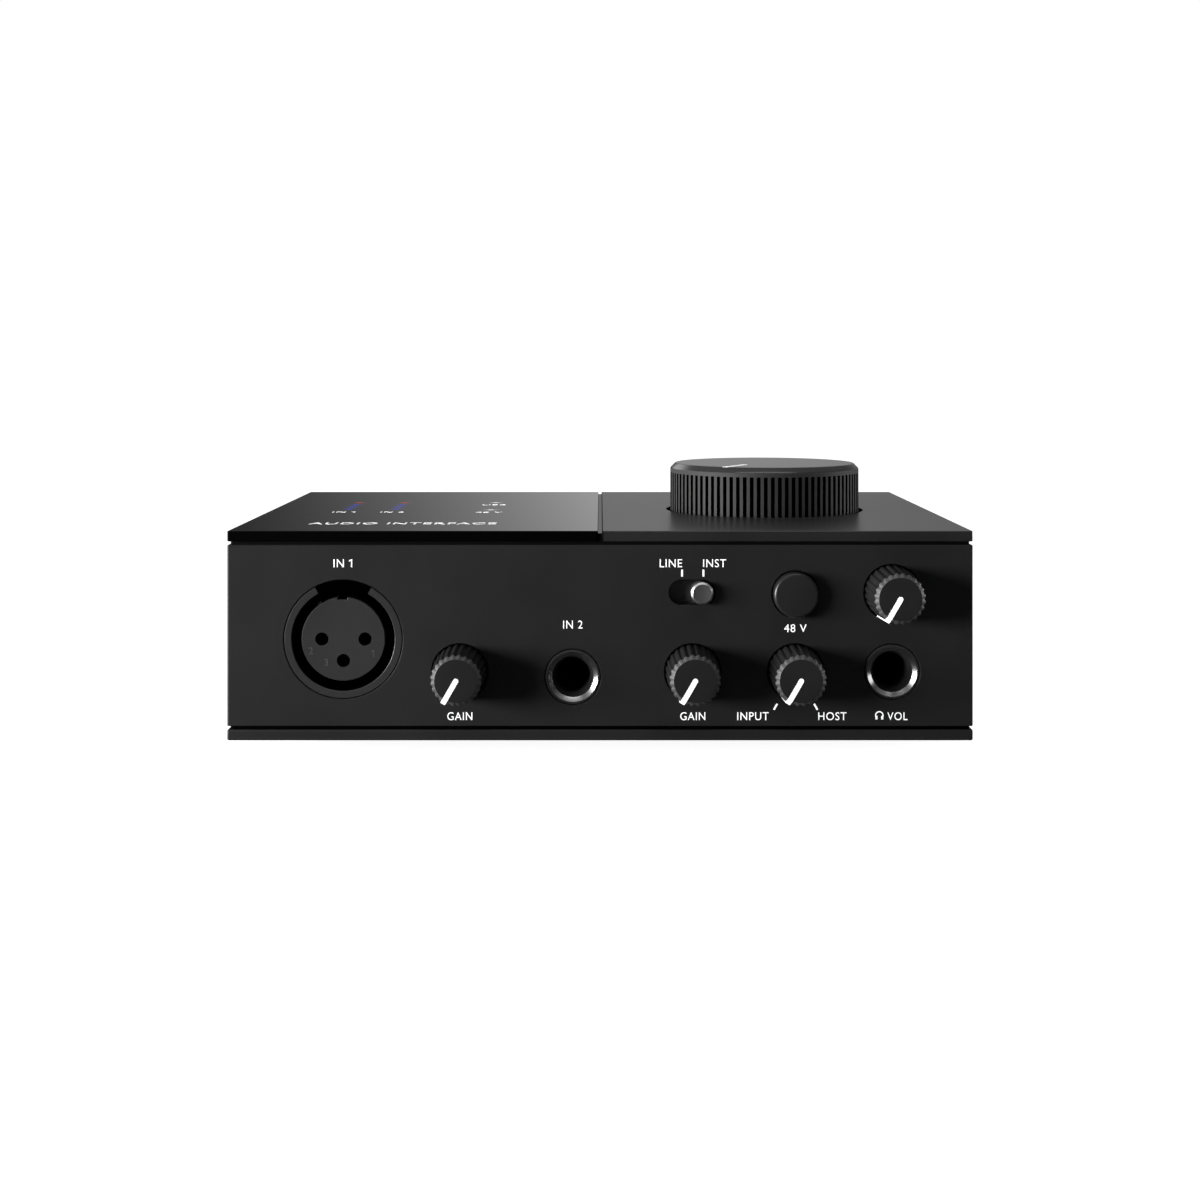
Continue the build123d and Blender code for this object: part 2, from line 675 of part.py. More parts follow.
def jack_pieces(x, z, case_height):
    """A quarter-inch socket: its case on the main board, metal bushing and three leaf contacts."""
    axis = Axis((x, front_y, z), (0, 1, 0))
    bore_length = jack_length - jack_end_wall
    with BuildPart() as bushing:
        with BuildSketch(level_through(x, z)):
            with BuildLine():
                Polyline(
                    (jack_cone_radius, touch),
                    (jack_rim_radius, touch),
                    (jack_rim_radius, jack_bushing_length),
                    (jack_bore_radius, jack_bushing_length),
                    (jack_bore_radius, jack_cone_radius - jack_bore_radius + touch),
                    close=True,
                )
            make_face()
        revolve(axis=axis)
    with BuildPart() as case:
        with BuildSketch(facing_front(x, main_board_top, jack_front)):
            Rectangle(jack_width, case_height, align=(Align.CENTER, Align.MIN))
        extrude(amount=-jack_length)
        with BuildSketch(facing_front(x, z, jack_front)):
            Circle(jack_bore_radius + slip)
        extrude(amount=-bore_length, mode=Mode.SUBTRACT)
        with BuildSketch(facing_front(x, z, jack_front)):
            Circle(jack_rim_radius + touch)
        extrude(amount=jack_front - jack_bushing_length - touch, mode=Mode.SUBTRACT)
        with BuildSketch(facing_front(x, z, leaf_front - slip)):
            with PolarLocations(0, 3):
                with Locations((jack_bore_radius, 0)):
                    Rectangle(leaf_pocket, leaf_width + 2 * slip, align=(Align.MIN, Align.CENTER))
        extrude(amount=-leaf_length - 2 * slip, mode=Mode.SUBTRACT)
    with BuildPart() as leaves:
        with BuildSketch(facing_front(x, z, leaf_front)):
            with PolarLocations(0, 3):
                with Locations((jack_bore_radius + slip, 0)):
                    Rectangle(leaf_thickness, leaf_width, align=(Align.MIN, Align.CENTER))
        extrude(amount=-leaf_length)
    return case, bushing, leaves


def usb_pieces():
    """The square USB socket: metal shell, insulating block with its tongue, and four contacts."""
    mouth = facing_back(usb_x, usb_z, slip)
    inner_sizes = (usb_width - 2 * usb_shell_wall, usb_height - 2 * usb_shell_wall)
    with BuildPart() as shell:
        with BuildSketch(mouth):
            RectangleRounded(usb_width, usb_height, usb_corner_radius)
            Rectangle(*inner_sizes, mode=Mode.SUBTRACT)
        extrude(amount=-usb_length)
    with BuildPart() as insulator:
        with BuildSketch(mouth):
            Rectangle(*inner_sizes)
        extrude(amount=-usb_length)
        with BuildSketch(mouth) as throat:
            Rectangle(usb_throat_width, usb_throat_height)
            chamfer(throat.vertices().group_by(Axis.Y)[-1], usb_throat_bevel)
        extrude(amount=-usb_throat_depth, mode=Mode.SUBTRACT)
        with BuildSketch(facing_back(usb_x, usb_z, slip + tongue_inset)):
            Rectangle(tongue_width, tongue_height)
        extrude(amount=-usb_throat_depth)
    with BuildPart() as contacts:
        with BuildSketch(facing_back(usb_x, usb_z, slip + 2 * tongue_inset)):
            with GridLocations(usb_contact_pitch, tongue_height + usb_contact_thickness, 2, 2):
                Rectangle(usb_contact_width, usb_contact_thickness)
        extrude(amount=2 * tongue_inset - usb_throat_depth)
    return shell, insulator, contacts


def rca_pieces():
    """The pair of phono output sockets: one block, two sleeves, two insulators, two contacts."""
    spread = rca_left_x - rca_right_x
    centre_x = (rca_left_x + rca_right_x) / 2
    with BuildPart() as block:
        with BuildSketch(facing_back(centre_x, main_board_top, wall + slip)):
            block_height = rca_z - main_board_top + rca_block_rise
            Rectangle(spread + rca_block_margin, block_height, align=(Align.CENTER, Align.MIN))
        extrude(amount=-rca_block_depth)
    with BuildPart() as sleeves:
        with BuildSketch(facing_back(centre_x, rca_z, wall + slip)):
            with GridLocations(spread, 0, 2, 1):
                Circle(rca_radius + slip)
        extrude(amount=wall + slip)
        with BuildSketch(facing_back(centre_x, rca_z)):
            with GridLocations(spread, 0, 2, 1):
                Circle(rca_radius)
        extrude(amount=sleeve_reach)
        with BuildSketch(facing_back(centre_x, rca_z, wall + slip)):
            with GridLocations(spread, 0, 2, 1):
                Circle(rca_radius - rca_sleeve_wall)
        extrude(amount=wall + slip + sleeve_reach, mode=Mode.SUBTRACT)
        chamfer(sleeves.faces().group_by(Axis.Y)[-1].edges(), hole_chamfer)
    insulators = []
    for x in (rca_left_x, rca_right_x):
        with BuildPart() as insulator:
            with BuildSketch(facing_back(x, rca_z, wall + slip)):
                Circle(rca_radius - rca_sleeve_wall - touch)
                Circle(rca_contact_radius, mode=Mode.SUBTRACT)
            extrude(amount=wall + slip + sleeve_reach - rca_insulator_recess)
        insulators.append(insulator)
    with BuildPart() as contacts:
        with BuildSketch(facing_back(centre_x, rca_z, wall + slip)):
            with GridLocations(spread, 0, 2, 1):
                Circle(rca_contact_radius - touch)
                Circle(rca_pin_radius, mode=Mode.SUBTRACT)
        extrude(amount=wall + slip + sleeve_reach - 2 * rca_insulator_recess)
    return block, sleeves, insulators, contacts


def light_guides(places):
    """Clear rods that carry light from the top board up to the gloss panel's surface."""
    with BuildPart() as guides:
        with BuildSketch(Plane.XY.offset(top_board_top + light_height + slip)):
            with Locations(*places):
                Circle(guide_radius)
        extrude(amount=panel_top - top_board_top - light_height - slip)
    return guides


def boxes_on(level, sizes_at_places):
    """A group of plain rectangular components that stand on a board."""
    with BuildPart(Plane.XY.offset(level)) as group:
        for place, size in sizes_at_places:
            with Locations(place):
                Box(*size, align=bottom_aligned)
    return group


os.makedirs("parts", exist_ok=True)

# Case
save(housing_piece(), "housing")
save(bottom_cover_piece(), "bottom_cover")
save(rubber_feet_piece(), "rubber_feet")
save(top_carrier_piece(), "top_carrier")
save(top_panel_piece(-1, guide_places, guide_radius + touch), "gloss_top_panel")
save(top_panel_piece(1, [volume_centre], volume_hole_radius), "matte_top_panel")

# Fasteners: heads face down under the cover and the top board, and up elsewhere
down = (0, 0, -1)
case_screw_planes = [
    Plane(origin=(x, y, cover_bottom + screw_head_height), z_dir=down) for x, y in boss_places
] + [Plane(origin=(x, y, panel_bottom - screw_head_height)) for x, y in boss_places]
board_screw_planes = (
    [Plane(origin=(x, y, main_board_top)) for x, y in main_board_posts]
    + [Plane(origin=(x, y, control_board_top)) for x, y in spacer_places]
    + [Plane(origin=(x, y, top_board_bottom), z_dir=down) for x, y in top_board_posts]
)
save(screws(case_screw_planes, case_screw_length), "case_screws")
save(screws(board_screw_planes, short_screw_length), "board_screws")

# Boards and what stands on them
main_board_x = (board_edge - body_width / 2, body_width / 2 - board_edge)
main_board_y = (front_y + board_edge, back_y - board_edge)
control_board_x = (9.0, 67.0)
control_board_y = (front_y + pot_front - slip, -20.0)
top_board_x, top_board_y = (-62.0, 62.0), (-12.0, 28.0)
main_board = circuit_board(main_board_posts, main_board_x, main_board_y, main_board_bottom)
control_board = circuit_board(spacer_places, control_board_x, control_board_y, control_board_bottom)
top_board = circuit_board(top_board_posts, top_board_x, top_board_y, top_board_bottom)
save(main_board, "main_board")
save(control_board, "control_board")
save(top_board, "top_board")

with BuildPart() as board_spacers:
    with BuildSketch(Plane.XY.offset(main_board_top)):
        with Locations(*spacer_places):
            RegularPolygon(spacer_radius, 6, major_radius=False)
            Circle(screw_radius + touch, mode=Mode.SUBTRACT)
    extrude(amount=control_board_gap)
save(board_spacers, "board_spacers")

header_height = top_board_bottom - main_board_top
header_sizes = [
    ((27.0, -30.0), (15.0, 5.0, control_board_gap)),
    ((-10.0, 20.0), (20.0, 5.0, header_height)),
]
save(boxes_on(main_board_top, header_sizes), "board_headers")

chip_sizes = [
    ((-30.0, 8.0), (10.0, 10.0, 1.2)),
    ((-44.0, -8.0), (5.0, 4.0, 1.5)),
    ((-30.0, -18.0), (5.0, 4.0, 1.5)),
    ((22.0, 6.0), (7.0, 7.0, 1.0)),
    ((-22.0, 30.0), (6.5, 6.0, 2.3)),
    ((-14.0, 4.0), (5.0, 3.2, 1.1)),
]
save(boxes_on(main_board_top, chip_sizes), "chips")

capacitor_places = [(-50, 12), (-50, 20), (14, -14), (22, -14), (36, 12), (44, 12), (52, 12)]
with BuildPart() as capacitors:
    with BuildSketch(Plane.XY.offset(main_board_top)):
        with Locations(*capacitor_places):
            Circle(capacitor_radius)
    extrude(amount=capacitor_height)
    fillet(capacitors.faces().group_by(Axis.Z)[-1].edges(), capacitor_rounding)
save(capacitors, "capacitors")

light_sizes = [(place, (light_length, light_width, light_height)) for place in guide_places]
save(boxes_on(top_board_top, light_sizes), "board_lights")
save(light_guides(level_places), "level_light_guides")
save(light_guides(peak_places), "peak_light_guides")
save(light_guides(status_places), "status_light_guides")

# Sockets
xlr_shell, xlr_insert, xlr_contacts = xlr_pieces()
save(xlr_shell, "xlr_shell")
save(xlr_insert, "xlr_insert")
save(xlr_contacts, "xlr_contacts")

for jack_name, jack_x, jack_z, case_height in (
    ("in_2_jack", in_2_x, in_2_z, in_2_case_height),
    ("headphone_jack", headphone_x, lower_z, headphone_case_height),
):
    jack_case, jack_bushing, jack_leaves = jack_pieces(jack_x, jack_z, case_height)
    save(jack_case, jack_name + "_case")
    save(jack_bushing, jack_name + "_bushing")
    save(jack_leaves, jack_name + "_contacts")

usb_shell, usb_insulator, usb_contacts = usb_pieces()
save(usb_shell, "usb_shell")
save(usb_insulator, "usb_insulator")
save(usb_contacts, "usb_contacts")

rca_block, rca_sleeves, rca_insulators, rca_contacts = rca_pieces()
save(rca_block, "rca_block")
save(rca_sleeves, "rca_sleeves")
save(rca_insulators[0], "rca_left_insulator")
save(rca_insulators[1], "rca_right_insulator")
save(rca_contacts, "rca_contacts")

# Controls
save(control_pots_piece(), "control_pots")
for knob_name, (knob_x, knob_z) in small_knob_places.items():
    knob, knob_pointer, knob_shaft = small_knob_pieces(knob_x, knob_z)
    save(knob, knob_name + "_knob")
    save(knob_pointer, knob_name + "_pointer")
    save(knob_shaft, knob_name + "_shaft")

volume_knob, volume_pointer, volume_shaft, volume_pot = volume_pieces()
save(volume_knob, "volume_knob")
save(volume_pointer, "volume_pointer")
save(volume_shaft, "volume_shaft")
save(volume_pot, "volume_pot")

phantom_button, phantom_plunger, phantom_switch = phantom_pieces()
save(phantom_button, "phantom_button")
save(phantom_plunger, "phantom_plunger")
save(phantom_switch, "phantom_switch")

slide_button, slide_carriage, slide_switch = slide_switch_pieces()
save(slide_button, "slide_button")
save(slide_carriage, "slide_carriage")
save(slide_switch, "slide_switch")
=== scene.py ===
from math import acos, cos, pi, radians, sin, tau
import bpy
import bmesh
from mathutils import Matrix, Vector


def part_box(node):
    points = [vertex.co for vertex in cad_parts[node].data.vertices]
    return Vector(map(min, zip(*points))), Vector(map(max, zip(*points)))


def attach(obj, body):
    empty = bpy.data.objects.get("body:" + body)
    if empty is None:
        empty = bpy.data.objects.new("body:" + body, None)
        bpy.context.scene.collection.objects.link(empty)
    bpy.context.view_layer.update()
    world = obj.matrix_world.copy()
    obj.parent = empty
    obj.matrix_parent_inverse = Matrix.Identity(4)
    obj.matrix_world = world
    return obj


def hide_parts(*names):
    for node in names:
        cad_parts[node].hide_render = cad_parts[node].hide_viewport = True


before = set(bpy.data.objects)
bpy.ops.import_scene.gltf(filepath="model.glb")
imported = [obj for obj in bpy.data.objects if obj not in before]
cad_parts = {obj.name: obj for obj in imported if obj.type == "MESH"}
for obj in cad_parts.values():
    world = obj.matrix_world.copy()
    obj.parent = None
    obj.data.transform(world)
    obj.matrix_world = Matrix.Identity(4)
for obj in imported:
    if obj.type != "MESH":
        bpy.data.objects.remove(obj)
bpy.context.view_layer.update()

# A desktop audio interface: a flat black case with sockets and small knobs in front and one
# large ribbed knob on top. Lengths are in metres; +X is to the right, +Y to the rear, +Z up.
MM = 0.001

# Places taken from the CAD parts' boxes
case_low, case_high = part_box("housing")
front_y = case_low.y
back_y = case_high.y
panel_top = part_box("gloss_top_panel")[1].z


def middle_of(node):
    """The middle of a CAD node's box."""
    low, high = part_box(node)
    return (low + high) / 2


# ------------------------------------------------------------- node helpers

def map_range(tree, value, start, end, low, high, kind="LINEAR"):
    """A value between start and end mapped to low..high, and held outside them."""
    node = tree.nodes.new("ShaderNodeMapRange")
    node.interpolation_type = kind
    node.inputs["From Min"].default_value = start
    node.inputs["From Max"].default_value = end
    node.inputs["To Min"].default_value = low
    node.inputs["To Max"].default_value = high
    tree.links.new(value, node.inputs["Value"])
    return node.outputs["Result"]


def calculate(tree, operation, *values):
    """A math node on sockets or plain numbers."""
    node = tree.nodes.new("ShaderNodeMath")
    node.operation = operation
    for socket, value in zip(node.inputs, values):
        if isinstance(value, (int, float)):
            socket.default_value = value
        else:
            tree.links.new(value, socket)
    return node.outputs[0]


def product(tree, result, *others):
    """Sockets or plain numbers multiplied together."""
    for value in others:
        result = calculate(tree, "MULTIPLY", result, value)
    return result


def total(tree, result, *others):
    """Sockets or plain numbers added together."""
    for value in others:
        result = calculate(tree, "ADD", result, value)
    return result


# ---------------------------------------------------------------- materials

def rgb_of(colour):
    """A linear red, green, blue triple from such a triple or from one grey."""
    return colour if isinstance(colour, tuple) else (colour, colour, colour)


def new_material(name, colour, roughness, metallic=0.0, specular=0.5):
    """A material and its shader, with a linear grey or a linear triple as its colour."""
    material = bpy.data.materials.new(name)
    material.use_nodes = True
    shader = material.node_tree.nodes["Principled BSDF"]
    shader.inputs["Base Color"].default_value = (*rgb_of(colour), 1.0)
    shader.inputs["Roughness"].default_value = roughness
    shader.inputs["Metallic"].default_value = metallic
    shader.inputs["Specular IOR Level"].default_value = specular
    return material, shader


def object_pattern(material, kind, size, stretch=(1.0, 1.0, 1.0), detail=2.0):
    """A noise, voronoi or wave texture in object space, whose features are about one size wide."""
    tree = material.node_tree
    place = tree.nodes.new("ShaderNodeTexCoord")
    mapping = tree.nodes.new("ShaderNodeMapping")
    mapping.inputs["Scale"].default_value = stretch
    tree.links.new(place.outputs["Object"], mapping.inputs["Vector"])
    texture = tree.nodes.new(kind)
    texture.inputs["Scale"].default_value = 1.0 / size
    if kind == "ShaderNodeTexNoise":
        texture.inputs["Detail"].default_value = detail
    tree.links.new(mapping.outputs["Vector"], texture.inputs["Vector"])
    return texture.outputs[0]


def remap(material, value, low, high, start=0.3, end=0.7):
    """A texture's value stretched from start..end to low..high."""
    return map_range(material.node_tree, value, start, end, low, high)


def blend_colour(material, factor, first, second):
    """Two linear colours mixed by a factor."""
    tree = material.node_tree
    node = tree.nodes.new("ShaderNodeMix")
    node.data_type = "RGBA"
    colour_sockets = [s for s in node.inputs if s.type == "RGBA"]
    for socket, colour in zip(colour_sockets, (first, second)):
        socket.default_value = (*rgb_of(colour), 1.0)
    tree.links.new(factor, node.inputs["Factor"])
    return [s for s in node.outputs if s.type == "RGBA"][0]


def add_bump(material, shader, height, distance, strength=1.0):
    """Fine relief on the surface from a height value."""
    tree = material.node_tree
    bump = tree.nodes.new("ShaderNodeBump")
    bump.inputs["Distance"].default_value = distance
    bump.inputs["Strength"].default_value = strength
    tree.links.new(height, bump.inputs["Height"])
    tree.links.new(bump.outputs["Normal"], shader.inputs["Normal"])


def fine_grain(name, colour, roughness, grain=0.25 * MM, relief=0.006 * MM, variation=0.15,
               specular=0.5, metallic=0.0):
    """A moulded or painted surface: fine grain in relief, with slightly uneven colour and sheen."""
    material, shader = new_material(name, colour, roughness, metallic, specular)
    links = material.node_tree.links
    mottle = object_pattern(material, "ShaderNodeTexNoise", 14 * MM)
    grains = object_pattern(material, "ShaderNodeTexNoise", grain, detail=3.0)
    darker = tuple(channel * (1 - variation) for channel in rgb_of(colour))
    lighter = tuple(channel * (1 + variation) for channel in rgb_of(colour))
    links.new(blend_colour(material, remap(material, mottle, 0, 1), darker, lighter),
              shader.inputs["Base Color"])
    links.new(remap(material, grains, roughness * 0.94, roughness * 1.06),
              shader.inputs["Roughness"])
    add_bump(material, shader, grains, relief)
    return material


def case_black():
    """Painted metal of the housing and the bottom cover."""
    return fine_grain("case_black", 0.0085, 0.55, specular=0.22)


def panel_black():
    """Satin matte paint of the right-hand top panel."""
    return fine_grain("panel_black", 0.012, 0.31, relief=0.003 * MM, specular=0.7)


def glow(material, centre, radius):
    """A soft round spot of painted glow on the top panel, 1 at its centre and 0 outside its radius."""
    tree = material.node_tree
    place = tree.nodes.new("ShaderNodeTexCoord")
    distance = tree.nodes.new("ShaderNodeVectorMath")
    distance.operation = "DISTANCE"
    distance.inputs[1].default_value = centre
    tree.links.new(place.outputs["Object"], distance.inputs[0])
    return map_range(tree, distance.outputs["Value"], radius, 0.0, 0.0, 1.0, "SMOOTHERSTEP")


def gloss_black(spots):
    """Smoked acrylic: a mirror-smooth sheet with faint dust, with a painted glow round each light, as
    if lit from below.
    """
    material, shader = new_material("gloss_black", 0.002, 0.06, specular=0.3)
    tree = material.node_tree
    dust = object_pattern(material, "ShaderNodeTexNoise", 3 * MM, detail=4.0)
    tree.links.new(remap(material, dust, 0.055, 0.065), shader.inputs["Roughness"])
    glows = None
    for centre, colour, radius in spots:
        scaled = tree.nodes.new("ShaderNodeVectorMath")
        scaled.operation = "SCALE"
        scaled.inputs[0].default_value = colour
        tree.links.new(glow(material, centre, radius), scaled.inputs["Scale"])
        if glows is None:
            glows = scaled.outputs["Vector"]
            continue
        both = tree.nodes.new("ShaderNodeVectorMath")
        both.operation = "ADD"
        tree.links.new(glows, both.inputs[0])
        tree.links.new(scaled.outputs["Vector"], both.inputs[1])
        glows = both.outputs["Vector"]
    # The spots are emission on the sheet: painted light from the lights beneath.
    tree.links.new(glows, shader.inputs["Emission Color"])
    shader.inputs["Emission Strength"].default_value = 1.0
    return material


def lit_guide(name, colour, strength):
    """A clear rod's end, lit from inside and brighter in its middle."""
    material, shader = new_material(name, tuple(0.4 * c for c in colour), 0.25)
    tree = material.node_tree
    cloud = object_pattern(material, "ShaderNodeTexNoise", 0.6 * MM)
    dim = tuple(0.7 * c for c in colour)
    tree.links.new(blend_colour(material, remap(material, cloud, 0, 1), dim, colour),
                   shader.inputs["Emission Color"])
    shader.inputs["Emission Strength"].default_value = strength
    return material


def turned_metal(name, colour, roughness, grain=0.05 * MM):
    """Bright machined metal with fine turning marks."""
    material, shader = new_material(name, colour, roughness, metallic=1.0)
    tree = material.node_tree
    marks = object_pattern(material, "ShaderNodeTexNoise", grain, (0.15, 1.0, 0.15), 1.0)
    smudge = object_pattern(material, "ShaderNodeTexNoise", 4 * MM)
    tree.links.new(remap(material, smudge, roughness * 0.8, roughness * 1.3),
                   shader.inputs["Roughness"])
    add_bump(material, shader, marks, 0.001 * MM, 0.5)
    return material


def board_green():
    """Circuit board: solder mask with faint copper tracks under it."""
    material, shader = new_material("board_green", (0.01, 0.07, 0.03), 0.35)
    tree = material.node_tree
    tracks = object_pattern(material, "ShaderNodeTexVoronoi", 4 * MM)
    factor = remap(material, tracks, 0, 1, 0.1, 0.5)
    tree.links.new(blend_colour(material, factor, (0.02, 0.12, 0.05), (0.008, 0.05, 0.025)),
                   shader.inputs["Base Color"])
    add_bump(material, shader, tracks, 0.02 * MM)
    return material


def printed_white():
    """White screen print, with the slight unevenness of ink and a faint painted glow."""
    material, shader = new_material("printed_white", 0.85, 0.5)
    tree = material.node_tree
    ink = object_pattern(material, "ShaderNodeTexNoise", 0.2 * MM)
    tree.links.new(blend_colour(material, remap(material, ink, 0, 1), 0.8, 0.9),
                   shader.inputs["Base Color"])
    # The white emission is a painted glow that brightens the print; the print is no lamp.
    shader.inputs["Emission Color"].default_value = (1.0, 1.0, 1.0, 1.0)
    shader.inputs["Emission Strength"].default_value = 0.35
    return material


LEVEL_BLUE = (0.005, 0.012, 0.16)
PEAK_RED = (0.14, 0.006, 0.012)
STATUS_WHITE = (0.2, 0.21, 0.22)
GLOW_RADIUS = 2.4 * MM
LIGHT_SPACING = 2.5 * MM


def find_light_spots():
    """The middle of each light guide's top, with the colour and the reach of its glow."""
    spots = []
    for group, colour in (("level_light_guides", LEVEL_BLUE), ("peak_light_guides", PEAK_RED),
                          ("status_light_guides", STATUS_WHITE)):
        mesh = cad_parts[group].data
        clusters = []
        for point in [v.co for v in mesh.vertices if v.co.z > panel_top - 0.1 * MM]:
            near = [c for c in clusters if (c[0] - point).length < LIGHT_SPACING]
            if near:
                near[0].append(point)
            else:
                clusters.append([point])
        for members in clusters:
            centre = sum(members, Vector()) / len(members)
            spots.append((tuple(centre), colour, GLOW_RADIUS))
    return spots


def finishes():
    """Every finish by name, most of them a material slot's name in model.glb."""
    return {
        "case_black": case_black(),
        "panel_black": panel_black(),
        "gloss_black": gloss_black(light_spots),
        # shadow_black is a near-black finish that paints shade where it is put.
        "shadow_black": fine_grain("shadow_black", 0.0004, 0.5, specular=0.02),
        # carrier_black is nearly black: painted shade that keeps the upper groove dark.
        "carrier_black": fine_grain("carrier_black", 0.0012, 0.6, specular=0.05),
        "foot_rubber": fine_grain("foot_rubber", 0.014, 0.85, 0.4 * MM, 0.02 * MM, specular=0.3),
        "screw_black": fine_grain("screw_black", 0.02, 0.4, metallic=0.6),
        "screw_steel": turned_metal("screw_steel", 0.55, 0.3),
        "board_green": board_green(),
        "brass": turned_metal("brass", (0.7, 0.45, 0.15), 0.3),
        "component_black": fine_grain("component_black", 0.02, 0.55),
        "capacitor_can": turned_metal("capacitor_can", 0.6, 0.35),
        "lamp_white": lit_guide("lamp_white", (0.9, 0.9, 0.85), 0.3),
        "light_blue": lit_guide("light_blue", (0.03, 0.08, 1.0), 0.5),
        "light_red": lit_guide("light_red", (1.0, 0.04, 0.07), 0.35),
        "light_white": lit_guide("light_white", (0.95, 0.97, 1.0), 0.9),
        "socket_black_metal": fine_grain("socket_black_metal", 0.016, 0.42, specular=0.35),
        "socket_black": fine_grain("socket_black", 0.016, 0.5, specular=0.25),
        "contact_gold": turned_metal("contact_gold", (0.16, 0.11, 0.045), 0.35),
        "bushing_chrome": turned_metal("bushing_chrome", 0.45, 0.24),
        "nickel": turned_metal("nickel", (0.62, 0.6, 0.56), 0.2),
        "insulator_white": fine_grain("insulator_white", 0.75, 0.45),
        "insulator_red": fine_grain("insulator_red", (0.55, 0.02, 0.02), 0.45),
        "volume_black": fine_grain("volume_black", 0.016, 0.21, 0.12 * MM, 0.0006 * MM,
                                   specular=0.8),
        "rib_black": fine_grain("rib_black", 0.02, 0.66, 0.12 * MM, 0.002 * MM, specular=0.25),
        # A lighter grey on the slide switch's carriage: painted light that shows it inside the deep
        # slot, where little light reaches.
        "carriage_painted_light_grey": fine_grain("carriage_painted_light_grey", 0.05, 0.5, specular=0.5),
        # knob_edge is a lighter grey: on the small knobs' chamfers and the raised pin numbers it
        # paints a sheen; the slide button's face takes it too.
        "knob_edge": fine_grain("knob_edge", 0.038, 0.55, 0.12 * MM, 0.002 * MM, specular=0.4),
        "knob_black": fine_grain("knob_black", 0.0115, 0.34, 0.12 * MM, 0.002 * MM, specular=0.35),
        "pointer_white": printed_white(),
        "shaft_steel": turned_metal("shaft_steel", 0.5, 0.3),
        "slide_metal": turned_metal("slide_metal", 0.6, 0.38),
    }


light_spots = find_light_spots()
finish_of = finishes()
slot_of_node = {}
for name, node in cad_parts.items():
    for material_slot in node.material_slots:
        slot_of_node[name] = material_slot.material.name.split(".")[0]
        material_slot.material = finish_of[slot_of_node[name]]
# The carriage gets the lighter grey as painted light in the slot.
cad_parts["slide_carriage"].material_slots[0].material = finish_of["carriage_painted_light_grey"]


# ------------------------------------------------------------- mesh helpers

def mesh_from(build, name, materials=(), turn_outward=True):
    """A plain mesh from a bmesh, which is freed."""
    if turn_outward:
        bmesh.ops.recalc_face_normals(build, faces=build.faces)
    mesh = bpy.data.meshes.new(name)
    build.to_mesh(mesh)
    build.free()
    for material in materials:
        mesh.materials.append(material)
    return mesh


def finish_piece(mesh, name, body, replaced=(), sharp=35):
    """Links a mesh as a piece, shades it, attaches it to its body and hides the CAD nodes it replaces.
    """
    piece = bpy.data.objects.new(name, mesh)
    bpy.context.scene.collection.objects.link(piece)
    mesh.shade_smooth()
    mesh.set_sharp_from_angle(angle=radians(sharp))
    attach(piece, body)
    if replaced:
        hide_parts(*replaced)
    return piece


def rounded_profile(corners, radii, arc_points=5):
    """A profile of (radius, height) corners with each corner rounded to its own radius."""
    points = []
    count = len(corners)
    for i, corner in enumerate(corners):
        here = Vector(corner)
        radius = radii[i]
        if radius <= 0:
            points.append(here)
            continue
        to_last = (Vector(corners[i - 1]) - here).normalized()
        to_next = (Vector(corners[(i + 1) % count]) - here).normalized()
        half_turn = acos(max(-1.0, min(1.0, to_last.dot(to_next)))) / 2
        reach = radius * cos(half_turn) / sin(half_turn)
        start, end = here + to_last * reach, here + to_next * reach
        centre = here + (to_last + to_next).normalized() * (radius / sin(half_turn))
        for step in range(arc_points + 1):
            share = step / arc_points
            spoke = (start - centre).lerp(end - centre, share).normalized()
            points.append(centre + spoke * radius)
    return points


def lathe(name, profile, angles, materials, material_at=None):
    """A closed solid turned about Z from a profile that starts and ends on the axis, or is a ring."""
    build = bmesh.new()
    on_axis = [abs(p[0]) < 1e-9 for p in profile]
    rings = []
    for (radius, height), pole in zip(profile, on_axis):
        if pole:
            rings.append([build.verts.new((0, 0, height))])
        else:
            rings.append([build.verts.new((radius * cos(a), radius * sin(a), height))
                          for a in angles])
    pairs = list(zip(rings, rings[1:]))
    if not on_axis[0]:
        pairs.append((rings[-1], rings[0]))
    for level, (lower, upper) in enumerate(pairs):
        for i in range(len(angles)):
            j = (i + 1) % len(angles)
            corners = [lower[i % len(lower)], lower[j % len(lower)],
                       upper[j % len(upper)], upper[i % len(upper)]]
            unique = list(dict.fromkeys(corners))
            if len(unique) < 3:
                continue
            face = build.faces.new(unique)
            if material_at:
                face.material_index = material_at(level)
    return mesh_from(build, name, materials)


def even_angles(count):
    """Angles evenly round a full turn."""
    return [tau * i / count for i in range(count)]


def facing_front_at(x, z):
    """Turns a piece made on Z so that its top faces the front, and puts it at a control's axis."""
    return Matrix.Translation((x, front_y, z)) @ Matrix.Rotation(pi / 2, 4, "X")


def facing_back_at(x, z):
    """Turns a piece made on Z so that its top faces the rear, and puts it at a socket's axis."""
    return Matrix.Translation((x, back_y, z)) @ Matrix.Rotation(-pi / 2, 4, "X")


# ------------------------------------------------------------ geometry nodes

def new_geometry_tree(name, sizes):
    """A geometry tree with a mesh input and output, and one named input for each size."""
    tree = bpy.data.node_groups.new(name, "GeometryNodeTree")
    tree.interface.new_socket("Geometry", in_out="INPUT", socket_type="NodeSocketGeometry")
    for size in sizes:
        tree.interface.new_socket(size, in_out="INPUT", socket_type="NodeSocketFloat")
    tree.interface.new_socket("Finish", in_out="INPUT", socket_type="NodeSocketMaterial")
    tree.interface.new_socket("Geometry", in_out="OUTPUT", socket_type="NodeSocketGeometry")
    return tree, tree.nodes.new("NodeGroupInput"), tree.nodes.new("NodeGroupOutput")


